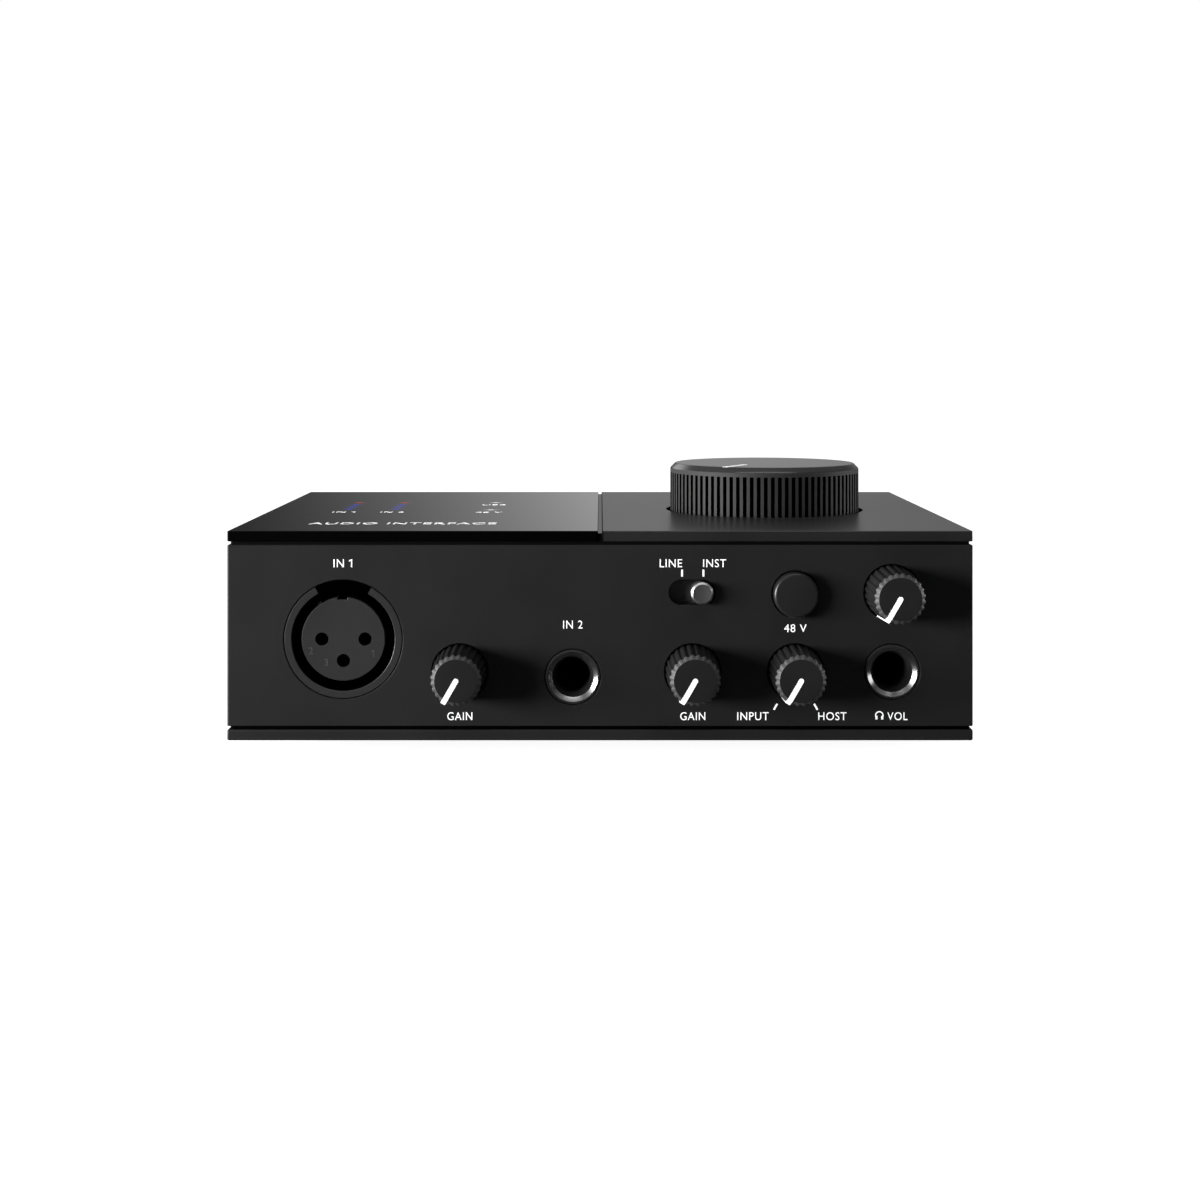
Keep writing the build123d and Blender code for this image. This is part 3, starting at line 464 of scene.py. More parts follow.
def point_polar(tree):
    """Each point's height, radius and angle about Z."""
    position = tree.nodes.new("GeometryNodeInputPosition")
    parts = tree.nodes.new("ShaderNodeSeparateXYZ")
    tree.links.new(position.outputs[0], parts.inputs[0])
    x, y, z = parts.outputs
    radius = calculate(tree, "SQRT", total(tree, product(tree, x, x), product(tree, y, y)))
    return x, y, z, radius, calculate(tree, "ARCTAN2", y, x)


def offset_from_flute(tree, angle, count):
    """How far a point's angle is from the middle of the nearest flute, in radians."""
    turns = calculate(tree, "DIVIDE", product(tree, angle, count), tau)
    nearest = calculate(tree, "ROUND", turns)
    share = calculate(tree, "ABSOLUTE", calculate(tree, "SUBTRACT", turns, nearest))
    return calculate(tree, "DIVIDE", product(tree, share, tau), count)


def set_radius(tree, source, target, x, y, z, radius, wanted, finish):
    """Moves each point to a wanted radius, then sets the finish and closes the tree."""
    ratio = calculate(tree, "DIVIDE", wanted, calculate(tree, "MAXIMUM", radius, 1e-7))
    together = tree.nodes.new("ShaderNodeCombineXYZ")
    tree.links.new(product(tree, x, ratio), together.inputs[0])
    tree.links.new(product(tree, y, ratio), together.inputs[1])
    tree.links.new(z, together.inputs[2])
    move = tree.nodes.new("GeometryNodeSetPosition")
    tree.links.new(source, move.inputs["Geometry"])
    tree.links.new(together.outputs[0], move.inputs["Position"])
    realize = tree.nodes.new("GeometryNodeRealizeInstances")
    tree.links.new(move.outputs[0], realize.inputs[0])
    paint = tree.nodes.new("GeometryNodeSetMaterial")
    tree.links.new(realize.outputs[0], paint.inputs["Geometry"])
    tree.links.new(finish, paint.inputs["Material"])
    tree.links.new(paint.outputs[0], target)


def round_flutes_tree():
    """Round flutes down a tapered side, with each point drawn in to its flute's own circle."""
    tree, given, result = new_geometry_tree("round_flutes", (
        "Count", "Base radius", "Rim radius", "Side length", "Flute radius", "Flute offset",
        "Softness"))
    x, y, z, radius, angle = point_polar(tree)
    size = given.outputs
    share = calculate(tree, "DIVIDE", z, size["Side length"])
    taper = calculate(tree, "SUBTRACT", size["Rim radius"], size["Base radius"])
    side = total(tree, size["Base radius"], product(tree, taper, share))
    away = total(tree, side, size["Flute offset"])
    offset = offset_from_flute(tree, angle, size["Count"])
    along = product(tree, away, calculate(tree, "COSINE", offset))
    across = product(tree, away, calculate(tree, "SINE", offset))
    inside = calculate(tree, "SUBTRACT",
                       product(tree, size["Flute radius"], size["Flute radius"]),
                       product(tree, across, across))
    half_chord = calculate(tree, "SQRT", calculate(tree, "MAXIMUM", inside, 0.0))
    flute = calculate(tree, "SUBTRACT", along, half_chord)
    cut = calculate(tree, "SMOOTH_MIN", radius, flute, size["Softness"])
    in_flute = calculate(tree, "GREATER_THAN", inside, 0.0)
    wanted = total(tree, product(tree, cut, in_flute),
                   product(tree, radius, calculate(tree, "SUBTRACT", 1.0, in_flute)))
    set_radius(tree, given.outputs["Geometry"], result.inputs[0], x, y, z, radius, wanted,
               given.outputs["Finish"])
    return tree


def square_slots_tree():
    """Narrow upright slots with square floors between flat ribs, up to a set height."""
    tree, given, result = new_geometry_tree("square_slots", (
        "Count", "Outer radius", "Slot width", "Slot depth", "Top", "Flank"))
    x, y, z, radius, angle = point_polar(tree)
    size = given.outputs
    offset = offset_from_flute(tree, angle, size["Count"])
    sideways = product(tree, offset, size["Outer radius"])
    inner_half = product(tree, size["Slot width"], 0.5)
    outer_half = total(tree, inner_half, size["Flank"])
    ramp = tree.nodes.new("ShaderNodeMapRange")
    for socket, value in (("Value", sideways), ("From Min", inner_half),
                          ("From Max", outer_half)):
        tree.links.new(value, ramp.inputs[socket])
    ramp.inputs["To Min"].default_value = 1.0
    ramp.inputs["To Max"].default_value = 0.0
    below_top = calculate(tree, "LESS_THAN", z, size["Top"])
    depth = product(tree, ramp.outputs[0], below_top, size["Slot depth"])
    slot_floor = calculate(tree, "SUBTRACT", size["Outer radius"], depth)
    wanted = calculate(tree, "MINIMUM", radius, slot_floor)
    set_radius(tree, given.outputs["Geometry"], result.inputs[0], x, y, z, radius, wanted,
               given.outputs["Finish"])
    return tree


def shaped(mesh, tree, sizes, finish):
    """A plain mesh after a geometry tree has worked on it with the given sizes."""
    blank = bpy.data.objects.new(mesh.name + "_blank", mesh)
    bpy.context.scene.collection.objects.link(blank)
    modifier = blank.modifiers.new(tree.name, "NODES")
    modifier.node_group = tree
    for item in tree.interface.items_tree:
        if item.in_out == "INPUT" and item.name in sizes:
            modifier[item.identifier] = sizes[item.name]
        if item.in_out == "INPUT" and item.name == "Finish":
            modifier[item.identifier] = finish
    seen = blank.evaluated_get(bpy.context.evaluated_depsgraph_get())
    result = bpy.data.meshes.new_from_object(seen)
    bpy.data.objects.remove(blank)
    result.name = mesh.name
    return result


# ------------------------------------------------------------------- knobs

POINTER_ANGLE = radians(240)
SMALL_COUNT = 24
SMALL_REACH = 9.8 * MM
SMALL_BASE, SMALL_RIM, SMALL_FACE = 5.1 * MM, 4.71 * MM, 3.93 * MM
SMALL_CHAMFER = 0.7 * MM
SMALL_POINTER_HALF = 0.47 * MM
SMALL_SKIRT = 2.4 * MM
FLUTE_RADIUS, FLUTE_OFFSET, FLUTE_SOFTNESS = 0.45 * MM, 0.2 * MM, 0.03 * MM
# Shares of the pitch between flutes, closest together at a flute's edge
FLUTE_SHARES = (0.0, 0.055, 0.11, 0.165, 0.21, 0.24, 0.26, 0.29, 0.36, 0.5)
SMALL_KNOBS = ("gain_1", "gain_2", "mix", "headphone")


def small_knob_mesh():
    """A tapered fluted knob with a chamfered front, made on Z with its seat below the panel."""
    side_top = SMALL_REACH - SMALL_CHAMFER
    corners = [(0, -SMALL_SKIRT), (SMALL_BASE, -SMALL_SKIRT), (SMALL_BASE, 0), (SMALL_RIM, side_top),
               (SMALL_FACE, SMALL_REACH), (0, SMALL_REACH)]
    radii = [0, 0.1 * MM, 0, 0.12 * MM, 0.12 * MM, 0]
    profile = rounded_profile(corners, radii)
    phases = [-p for p in FLUTE_SHARES[-2:0:-1]] + list(FLUTE_SHARES)
    angles = [tau * (i + p) / SMALL_COUNT for i in range(SMALL_COUNT) for p in phases]
    blank = lathe("small_knob", split_long_spans(profile, 1.2 * MM), angles, [])
    mesh = shaped(blank, flutes, {
        "Count": SMALL_COUNT, "Base radius": SMALL_BASE, "Rim radius": SMALL_RIM,
        "Side length": side_top, "Flute radius": FLUTE_RADIUS, "Flute offset": FLUTE_OFFSET,
        "Softness": FLUTE_SOFTNESS}, finish_of["knob_black"])
    # The chamfer takes the lighter grey: a painted sheen.
    mesh.materials.append(finish_of["knob_edge"])
    for face in mesh.polygons:
        on_chamfer = side_top + 0.1 * MM < face.center.z < SMALL_REACH - 0.02 * MM
        face.material_index = 1 if on_chamfer else 0
    return mesh


def split_long_spans(profile, longest):
    """The same profile with points added along its long straight stretches."""
    points = [Vector(profile[0])]
    for end in profile[1:]:
        start, end = points[-1], Vector(end)
        pieces = max(1, int((end - start).length / longest + 0.5))
        points += [start.lerp(end, (i + 1) / pieces) for i in range(pieces)]
    return points


def strip_mesh(name, stations, thickness, material):
    """A bar along stations of (radius, height, half width, outward slope), sunk into the surface."""
    build = bmesh.new()
    sections = []
    for radius, height, half, outward in stations:
        out = Vector((sin(outward), 0, cos(outward)))
        top = Vector((radius, 0, height))
        low = top - out * thickness
        sections.append([build.verts.new((p.x, side * half, p.z))
                         for p, side in ((top, -1), (top, 1), (low, 1), (low, -1))])
    for one, two in zip(sections, sections[1:]):
        for i in range(4):
            j = (i + 1) % 4
            build.faces.new((one[i], one[j], two[j], two[i]))
    build.faces.new(sections[0])
    build.faces.new(sections[-1][::-1])
    return mesh_from(build, name, [material])


def rounded_start(start, half, steps=5):
    """Half widths that make a bar's first end round: (distance, half width) pairs."""
    pairs = []
    for i in range(steps + 1):
        turn = (i + 0.35) / (steps + 0.35) * pi / 2
        pairs.append((start + half * (1 - cos(turn)), half * sin(turn)))
    return pairs


def small_pointer_mesh():
    """The white bar across the face, over the chamfer and down the side of a small knob."""
    proud = 0.04 * MM
    rib = 0.2 * MM
    upper_half, lower_half = 0.42 * MM, 0.32 * MM
    thickness = 0.6 * MM
    side_top = SMALL_REACH - SMALL_CHAMFER
    stations = [(r, SMALL_REACH + proud, half, 0.0)
                for r, half in rounded_start(-SMALL_POINTER_HALF, SMALL_POINTER_HALF)]
    stations += [
        (SMALL_FACE, SMALL_REACH + proud, SMALL_POINTER_HALF, radians(22)),
        (SMALL_RIM + rib, side_top + proud, SMALL_POINTER_HALF, radians(65)),
        (SMALL_RIM + rib, side_top - 0.3 * MM, upper_half, radians(88)),
        (SMALL_BASE + rib, 0.3 * MM, lower_half, radians(88)),
    ]
    return strip_mesh("small_pointer", stations, thickness, finish_of["pointer_white"])


def add_small_knobs():
    """The four front knobs with their pointers, each on its own turning body."""
    knob, pointer = small_knob_mesh(), small_pointer_mesh()
    for control in SMALL_KNOBS:
        at = middle_of(control + "_shaft")
        place = facing_front_at(at.x, axis_height[control])
        body = control + "_control"
        knob_copy, pointer_copy = knob.copy(), pointer.copy()
        knob_copy.transform(place)
        pointer_copy.transform(place @ Matrix.Rotation(POINTER_ANGLE, 4, "Z"))
        finish_piece(knob_copy, control + "_fluted_knob", body, [control + "_knob"])
        finish_piece(pointer_copy, control + "_white_pointer", body, [control + "_pointer"])


axis_height = {control: middle_of(control + "_knob").z for control in SMALL_KNOBS}

VOLUME_RADIUS = 20.1 * MM
VOLUME_COUNT = 88
VOLUME_CHAMFER = 1.05 * MM
VOLUME_BAND = 0.9 * MM
VOLUME_SLOT, VOLUME_SLOT_DEPTH = 0.68 * MM, 0.9 * MM
VOLUME_FLANK = 0.05 * MM
VOLUME_WALL = 2.4 * MM
HUB_BORE, HUB_RADIUS, HUB_RISE = 3.2 * MM, 5.0 * MM, 1.8 * MM
VOLUME_POINTER_START, VOLUME_POINTER_HALF = 9.0 * MM, 0.6 * MM
volume_low, volume_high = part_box("volume_knob")
volume_axis = (volume_low + volume_high) / 2


def volume_knob_mesh():
    """The large knob, hollow beneath, with a soft chamfer, a smooth band and square-cut ribs, and
    painted shade in near black on the walls and floors of its slots.
    """
    height = volume_high.z - volume_low.z
    rib_top = height - VOLUME_CHAMFER - VOLUME_BAND
    edge = 0.03 * MM
    corners = [(0, height), (VOLUME_RADIUS - VOLUME_CHAMFER, height),
               (VOLUME_RADIUS, height - VOLUME_CHAMFER), (VOLUME_RADIUS, rib_top),
               (VOLUME_RADIUS, rib_top - edge), (VOLUME_RADIUS, 0),
               (VOLUME_RADIUS - VOLUME_WALL, 0),
               (VOLUME_RADIUS - VOLUME_WALL, height - VOLUME_WALL), (0, height - VOLUME_WALL)]
    radii = [0, 0.3 * MM, 0.6 * MM, 0, 0, 0.1 * MM, 0.1 * MM, 0.3 * MM, 0]
    profile = split_long_spans(rounded_profile(corners, radii, 4), 3.5 * MM)
    pitch = tau * VOLUME_RADIUS / VOLUME_COUNT
    half = VOLUME_SLOT / 2 / pitch
    flank = VOLUME_FLANK / pitch
    # Shares of the pitch at a slot's floor edge, at the top of its wall, beside it and mid-rib
    marks = (half * 0.98, half + flank * 1.02, half + flank * 2.2, 0.5)
    phases = [-m for m in marks[-2::-1]] + list(marks)
    angles = [tau * (i + p) / VOLUME_COUNT for i in range(VOLUME_COUNT) for p in phases]
    blank = lathe("volume_knob_ribbed", profile, angles, [])
    mesh = shaped(blank, slots, {
        "Count": VOLUME_COUNT, "Outer radius": VOLUME_RADIUS, "Slot width": VOLUME_SLOT,
        "Slot depth": VOLUME_SLOT_DEPTH, "Top": rib_top - edge / 2, "Flank": VOLUME_FLANK,
    }, finish_of["volume_black"])
    mesh.materials.append(finish_of["rib_black"])
    mesh.materials.append(finish_of["shadow_black"])
    for face in mesh.polygons:
        if face.center.z > height - VOLUME_CHAMFER:
            continue
        reach = face.center.xy.length
        # The slots' walls and floors take shadow_black: painted shade.
        in_slot = VOLUME_RADIUS - VOLUME_WALL / 2 < reach < VOLUME_RADIUS - 0.2 * MM
        face.material_index = 2 if in_slot else 1
    return mesh


def add_volume_knob():
    """The volume knob, its hub and its pointer."""
    place = Matrix.Translation((volume_axis.x, volume_axis.y, volume_low.z))
    mesh = volume_knob_mesh()
    mesh.transform(place)
    finish_piece(mesh, "volume_ribbed_knob", "volume_control", ["volume_knob"])
    height = volume_high.z - volume_low.z
    hub_top = height - VOLUME_WALL + 0.1 * MM
    hub = lathe("hub", rounded_profile(
        [(HUB_BORE, HUB_RISE), (HUB_RADIUS, HUB_RISE), (HUB_RADIUS, hub_top),
         (HUB_BORE, hub_top)], [0.1 * MM, 0.2 * MM, 0, 0]), even_angles(48),
        [finish_of["knob_black"]])
    hub.transform(place)
    finish_piece(hub, "volume_knob_hub", "volume_control")
    top = height + 0.03 * MM
    end = VOLUME_RADIUS - VOLUME_CHAMFER - 0.1 * MM
    thickness = 0.35 * MM
    stations = [(r, top, half, 0.0)
                for r, half in rounded_start(VOLUME_POINTER_START, VOLUME_POINTER_HALF)]
    stations.append((end, top, VOLUME_POINTER_HALF, 0.0))
    pointer = strip_mesh("volume_bar", stations, thickness, finish_of["pointer_white"])
    pointer.transform(place @ Matrix.Rotation(POINTER_ANGLE, 4, "Z"))
    finish_piece(pointer, "volume_white_pointer", "volume_control", ["volume_pointer"])


def add_copy_with_painted_shade(node, name, second_where, second="shadow_black", sharp=35):
    """A copy of a CAD piece with a second finish wherever a rule on the face says so; the default
    second finish, shadow_black, is near-black painted shade.
    """
    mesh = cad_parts[node].data.copy()
    mesh.name = name
    build = bmesh.new()
    build.from_mesh(mesh)
    bmesh.ops.remove_doubles(build, verts=build.verts, dist=0.001 * MM)
    for face in build.faces:
        face.material_index = 1 if second_where(face) else 0
    build.to_mesh(mesh)
    build.free()
    mesh.materials.append(finish_of[second])
    finish_piece(mesh, name, "chassis", [node], sharp)
    square_on = 0.9999
    for polygon in mesh.polygons:
        if max(abs(part) for part in polygon.normal) > square_on:
            polygon.use_smooth = False


GROOVE_DEPTH = 0.65 * MM


def add_pieces_with_painted_shade():
    """The panels' edges, the deck, the lower groove and the inside of the microphone socket's ring:
    painted shade in near black on all but the deck, which gets the panel's finish.
    """
    # The gloss sheet's edges: painted shade in near black, standing for their dark reflection.
    add_copy_with_painted_shade("gloss_top_panel", "gloss_acrylic_panel", lambda face: abs(face.normal.z) < 0.6,
                 sharp=3)
    # The matte panel's face at the slit between the two panels: painted shade.
    add_copy_with_painted_shade("matte_top_panel", "matte_painted_panel", lambda face: face.normal.x < -0.2)
    # The carrier's own near black is painted shade in the upper groove; its upward faces, the deck
    # among them, get the panel's finish.
    add_copy_with_painted_shade("top_carrier", "painted_top_carrier", lambda face: face.normal.z > 0.9,
                 "panel_black")
    # Everything of the bottom cover above the groove's floor: painted shade in the lower groove.
    groove_low = case_low.z - GROOVE_DEPTH
    add_copy_with_painted_shade("bottom_cover", "grooved_bottom_cover",
                 lambda face: face.calc_center_median().z > groove_low)
    # The socket ring's walls, inside and out: painted shade.
    add_copy_with_painted_shade("xlr_shell", "microphone_socket_ring", lambda face: face.normal.y > -0.5,
                 sharp=12)


flutes = round_flutes_tree()
slots = square_slots_tree()
add_pieces_with_painted_shade()
add_small_knobs()
add_volume_knob()


# --------------------------------------------------------- buttons and sockets

def add_phantom_button():
    """The round push button with its softly rounded edge and rear flange."""
    at = middle_of("phantom_button")
    low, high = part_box("phantom_button")
    radius, flange_radius = 4.2 * MM, 5.2 * MM
    reach, depth = front_y - low.y, front_y - high.y
    flange = depth + 0.9 * MM
    corners = [(0, depth), (flange_radius, depth), (flange_radius, flange), (radius, flange),
               (radius, reach), (0, reach)]
    radii = [0, 0.1 * MM, 0.1 * MM, 0.1 * MM, 0.55 * MM, 0]
    mesh = lathe("button", rounded_profile(corners, radii, 8), even_angles(96),
                 [finish_of["knob_black"]])
    mesh.transform(facing_front_at(at.x, at.z))
    finish_piece(mesh, "phantom_round_button", "phantom_control", ["phantom_button"],
                 50)


def add_slide_button():
    """The small slide switch button, with a dark dished face inside a bright turned rim."""
    at = middle_of("slide_button")
    low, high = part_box("slide_button")
    radius, reach, depth = 2.1 * MM, front_y - low.y, front_y - high.y
    rim = 0.34 * MM
    corners = [(0, depth), (radius, depth), (radius, reach - rim), (radius - rim, reach),
               (radius - rim - 0.08 * MM, reach - 0.02 * MM), (0, reach - 0.05 * MM)]
    radii = [0, 0, 0.1 * MM, 0.05 * MM, 0, 0]
    profile = rounded_profile(corners, radii, 5)
    # The bright rim runs from the first rounded corner to the end of the second
    bright_from = 2
    bright_to = len(profile) - 4
    mesh = lathe("slide", profile, even_angles(72),
                 [finish_of["knob_edge"], finish_of["slide_metal"]],
                 lambda level: 1 if bright_from <= level <= bright_to else 0)
    mesh.transform(facing_front_at(at.x, at.z))
    finish_piece(mesh, "slide_turned_button", "input_switch", ["slide_button"])


def add_jack_bushings():
    """The polished rings of the two quarter-inch sockets, with dark bores behind them."""
    for jack in ("in_2_jack", "headphone_jack"):
        at = middle_of(jack + "_bushing")
        low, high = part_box(jack + "_bushing")
        top, bottom = front_y - low.y, front_y - high.y
        rim, lip, waist, bore = 5.1 * MM, 4.68 * MM, 3.88 * MM, 3.25 * MM
        waist_depth, throat_depth = 0.56 * MM, 2.4 * MM
        corners = [(bore, bottom), (rim, bottom), (rim, top), (lip, top),
                   (waist, top - waist_depth), (bore, top - throat_depth)]
        radii = [0, 0, 0.12 * MM, 0.1 * MM, 0.15 * MM, 0]
        arc_points = 6
        profile = rounded_profile(corners, radii, arc_points)
        # The polish starts one step into the lip's arc and stops two steps before the waist's ends
        cone_start = 2 + (arc_points + 1) + 1
        cone_end = len(profile) - 4
        # Outside the polished cone the ring takes the black socket finish; past the waist this black
        # is also painted shade, widening the dark of the hole.
        mesh = lathe(jack, profile, even_angles(120),
                     [finish_of["bushing_chrome"], finish_of["socket_black"]],
                     lambda level: 0 if cone_start <= level < cone_end else 1)
        mesh.transform(facing_front_at(at.x, at.z))
        finish_piece(mesh, jack + "_polished_ring", "chassis", [jack + "_bushing"])


def add_phono_sockets():
    """The plated sleeves of the rear outputs with rolled ends, and their coloured insulators."""
    low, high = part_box("rca_sleeves")
    inner, outer, step = 3.65 * MM, 4.15 * MM, 4.35 * MM
    contact_hole, insulator_radius = 1.9 * MM, 3.63 * MM
    bottom, top = low.y - back_y, high.y - back_y
    sleeve_profile = rounded_profile(
        [(inner, bottom), (step, bottom), (step, 0), (outer, 0), (outer, top), (inner, top)],
        [0, 0, 0.1 * MM, 0, 0.22 * MM, 0.22 * MM], 6)
    build = bmesh.new()
    for side in ("left", "right"):
        at = middle_of(f"rca_{side}_insulator")
        sleeve = lathe("sleeve", sleeve_profile, even_angles(96), [])
        sleeve.transform(facing_back_at(at.x, at.z))
        build.from_mesh(sleeve)
        near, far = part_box(f"rca_{side}_insulator")
        start, end = near.y - back_y, far.y - back_y
        ring = rounded_profile([(contact_hole, start), (insulator_radius, start),
                                (insulator_radius, end), (contact_hole, end)],
                               [0, 0, 0.25 * MM, 0.2 * MM], 5)
        slot = "insulator_white" if side == "left" else "insulator_red"
        insulator = lathe("insulator", ring, even_angles(72), [finish_of[slot]])
        insulator.transform(facing_back_at(at.x, at.z))
        finish_piece(insulator, f"phono_{side}_insulator", "chassis",
                     [f"rca_{side}_insulator"])
    mesh = mesh_from(build, "phono_sleeves", [finish_of["nickel"]], turn_outward=False)
    finish_piece(mesh, "phono_plated_sleeves", "chassis", ["rca_sleeves"])


add_phantom_button()
add_slide_button()
add_jack_bushings()
add_phono_sockets()


# -------------------------------------------------------------------- prints

PRINT = 0.03 * MM
CAP = 1.5 * MM
CAPTION_CAP, TITLE_CAP = 2.0 * MM, 3.5 * MM
PIN_CAP = 1.3 * MM
TICK_LENGTH, TICK_WIDTH = 1.3 * MM, 0.34 * MM


def lettering(words, cap, width=None):
    """Words as a closed mesh, centred on the origin in X and on their capitals' middle in Y."""
    curve = bpy.data.curves.new("words", "FONT")
    curve.body = words
    curve.align_x = "CENTER"
    curve.size = 1.0
    curve.extrude = 0.5
    curve.resolution_u = 4
    curve.space_character = 1.1
    sample = bpy.data.objects.new("words", curve)
    bpy.context.scene.collection.objects.link(sample)
    seen = sample.evaluated_get(bpy.context.evaluated_depsgraph_get())
    mesh = bpy.data.meshes.new_from_object(seen)
    bpy.data.objects.remove(sample)
    xs = [v.co.x for v in mesh.vertices]
    ys = [v.co.y for v in mesh.vertices]
    tall = max(ys) - min(ys)
    scale_y = cap / tall
    scale_x = width / (max(xs) - min(xs)) if width else scale_y
    mesh.transform(Matrix.Translation((-(max(xs) + min(xs)) / 2, -(max(ys) + min(ys)) / 2, 0)))
    mesh.transform(Matrix.Diagonal((scale_x, scale_y, PRINT, 1)))
    return mesh


def digit_one(cap):
    """A figure one made of an upright stem with a short flag, centred like other words."""
    stem, thick = 0.15 * cap, 0.14 * cap
    flag_reach, flag_drop, nudge = 0.34 * cap, 0.14 * cap, 0.1 * cap
    outline = [(stem / 2, -cap / 2), (stem / 2, cap / 2), (0.08 * cap - stem / 2, cap / 2),
               (-flag_reach, cap / 2 - flag_drop), (-flag_reach, cap / 2 - flag_drop - thick),
               (-stem / 2, cap / 2 - 0.2 * cap), (-stem / 2, -cap / 2)]
    build = bmesh.new()
    rings = [[build.verts.new((x + nudge, y, side * PRINT / 2)) for x, y in outline]
             for side in (-1, 1)]
    build.faces.new(rings[0])
    build.faces.new(rings[1])
    for i in range(len(outline)):
        j = (i + 1) % len(outline)
        build.faces.new((rings[0][i], rings[0][j], rings[1][j], rings[1][i]))
    return mesh_from(build, "one")


def tick(turn=0.0):
    """A short printed line, upright before it is turned."""
    build = bmesh.new()
    bmesh.ops.create_cube(build, size=1.0)
    mesh = mesh_from(build, "tick")
    size = Matrix.Diagonal((TICK_WIDTH, TICK_LENGTH, PRINT, 1))
    mesh.transform(Matrix.Rotation(turn, 4, "Z") @ size)
    return mesh


def headphone_icon(size):
    """A headband arc with an ear cup at each end."""
    build = bmesh.new()
    outer, inner = 0.5 * size, 0.37 * size
    cup_width, cup_height, cup_out, cup_down = 0.24 * size, 0.42 * size, 0.34 * size, 0.26 * size
    start, end, steps = radians(-20), radians(200), 20
    rows = []
    for i in range(steps + 1):
        turn = start + (end - start) * i / steps
        rows.append([build.verts.new((r * cos(turn), r * sin(turn), side * PRINT / 2))
                     for r, side in ((inner, -1), (outer, -1), (outer, 1), (inner, 1))])
    for one, two in zip(rows, rows[1:]):
        for i in range(4):
            build.faces.new((one[i], one[(i + 1) % 4], two[(i + 1) % 4], two[i]))
    build.faces.new(rows[0])
    build.faces.new(rows[-1][::-1])
    for side in (-1, 1):
        cup = bmesh.ops.create_cube(build, size=1.0)["verts"]
        bmesh.ops.scale(build, verts=cup, vec=(cup_width, cup_height, PRINT))
        bmesh.ops.translate(build, verts=cup, vec=(side * cup_out, -cup_down, 0))
    return mesh_from(build, "icon")


def add_prints(name, placed, surface, finish="pointer_white"):
    """Joins printed or raised marks into one piece, each at its own place on a surface."""
    build = bmesh.new()
    for mesh, across, up in placed:
        mesh.transform(surface @ Matrix.Translation((across, up, PRINT / 2)))
        build.from_mesh(mesh)
    mesh = mesh_from(build, name, [finish_of[finish]], turn_outward=False)
    finish_piece(mesh, name, "chassis")


def add_front_prints():
    """Labels and ticks on the front face."""
    knob = {control: middle_of(control + "_knob") for control in SMALL_KNOBS}
    in_2, phones = middle_of("in_2_jack_bushing"), middle_of("headphone_jack_bushing")
    button = middle_of("phantom_button")
    xlr_x = middle_of("xlr_contacts").x
    slot_x = middle_of("slide_switch").x
    upper = knob["headphone"].z
    label_drop = 8.3 * MM
    mix_x, mix_z = knob["mix"].x, knob["mix"].z
    in_1_z = xlr_axis_z + 14.3 * MM
    switch_label_z, switch_tick_z = upper + 5.5 * MM, upper + 3.65 * MM
    labels = [
        ("IN", 1.95 * MM, xlr_x - 0.82 * MM, in_1_z),
        ("GAIN", 4.7 * MM, knob["gain_1"].x, knob["gain_1"].z - label_drop),
        ("IN 2", 3.65 * MM, in_2.x, in_2.z + 9.85 * MM),
        ("GAIN", 4.7 * MM, knob["gain_2"].x, knob["gain_2"].z - label_drop),
        ("LINE", 4.2 * MM, slot_x - 4.0 * MM, switch_label_z),
        ("INST", 4.3 * MM, slot_x + 4.2 * MM, switch_label_z),
        ("48 V", 4.2 * MM, button.x, button.z - 6.4 * MM),
        ("INPUT", 5.9 * MM, mix_x - 8.0 * MM, mix_z - label_drop),
        ("HOST", 5.3 * MM, mix_x + 6.9 * MM, mix_z - label_drop),
        ("VOL", 3.8 * MM, phones.x + 1.0 * MM, phones.z - label_drop),
    ]
    placed = [(lettering(words, CAP, width), across, up) for words, width, across, up in labels]
    placed.append((digit_one(CAP), xlr_x + 1.45 * MM, in_1_z))
    placed.append((headphone_icon(1.6 * MM), phones.x - 2.4 * MM, phones.z - 8.15 * MM))
    for across in (-1.9 * MM, 2.1 * MM):
        placed.append((tick(), slot_x + across, switch_tick_z))
    tick_radius, tick_lean = 7.55 * MM, radians(30)
    for side in (-1, 1):
        placed.append((tick(side * tick_lean), mix_x + side * tick_radius * sin(tick_lean),
                       mix_z - tick_radius * cos(tick_lean)))
    add_prints("front_labels", placed, facing_front_at(0, 0))


def add_pin_numbers():
    """The raised pin numbers on the microphone socket's core, in a lighter grey that paints their
    sheen.
    """
    low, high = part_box("xlr_insert")
    surface = Matrix.Translation((0, low.y - front_y, 0)) @ facing_front_at(0, 0)
    centre = (low.x + high.x) / 2
    placed = [
        (lettering("2", PIN_CAP), centre - 6.1 * MM, xlr_axis_z - 2.2 * MM),
        (digit_one(PIN_CAP), centre + 5.6 * MM, xlr_axis_z - 2.7 * MM),
        (lettering("3", PIN_CAP), centre - 3.2 * MM, xlr_axis_z - 4.4 * MM),
    ]
    add_prints("pin_numbers", placed, surface, "knob_edge")


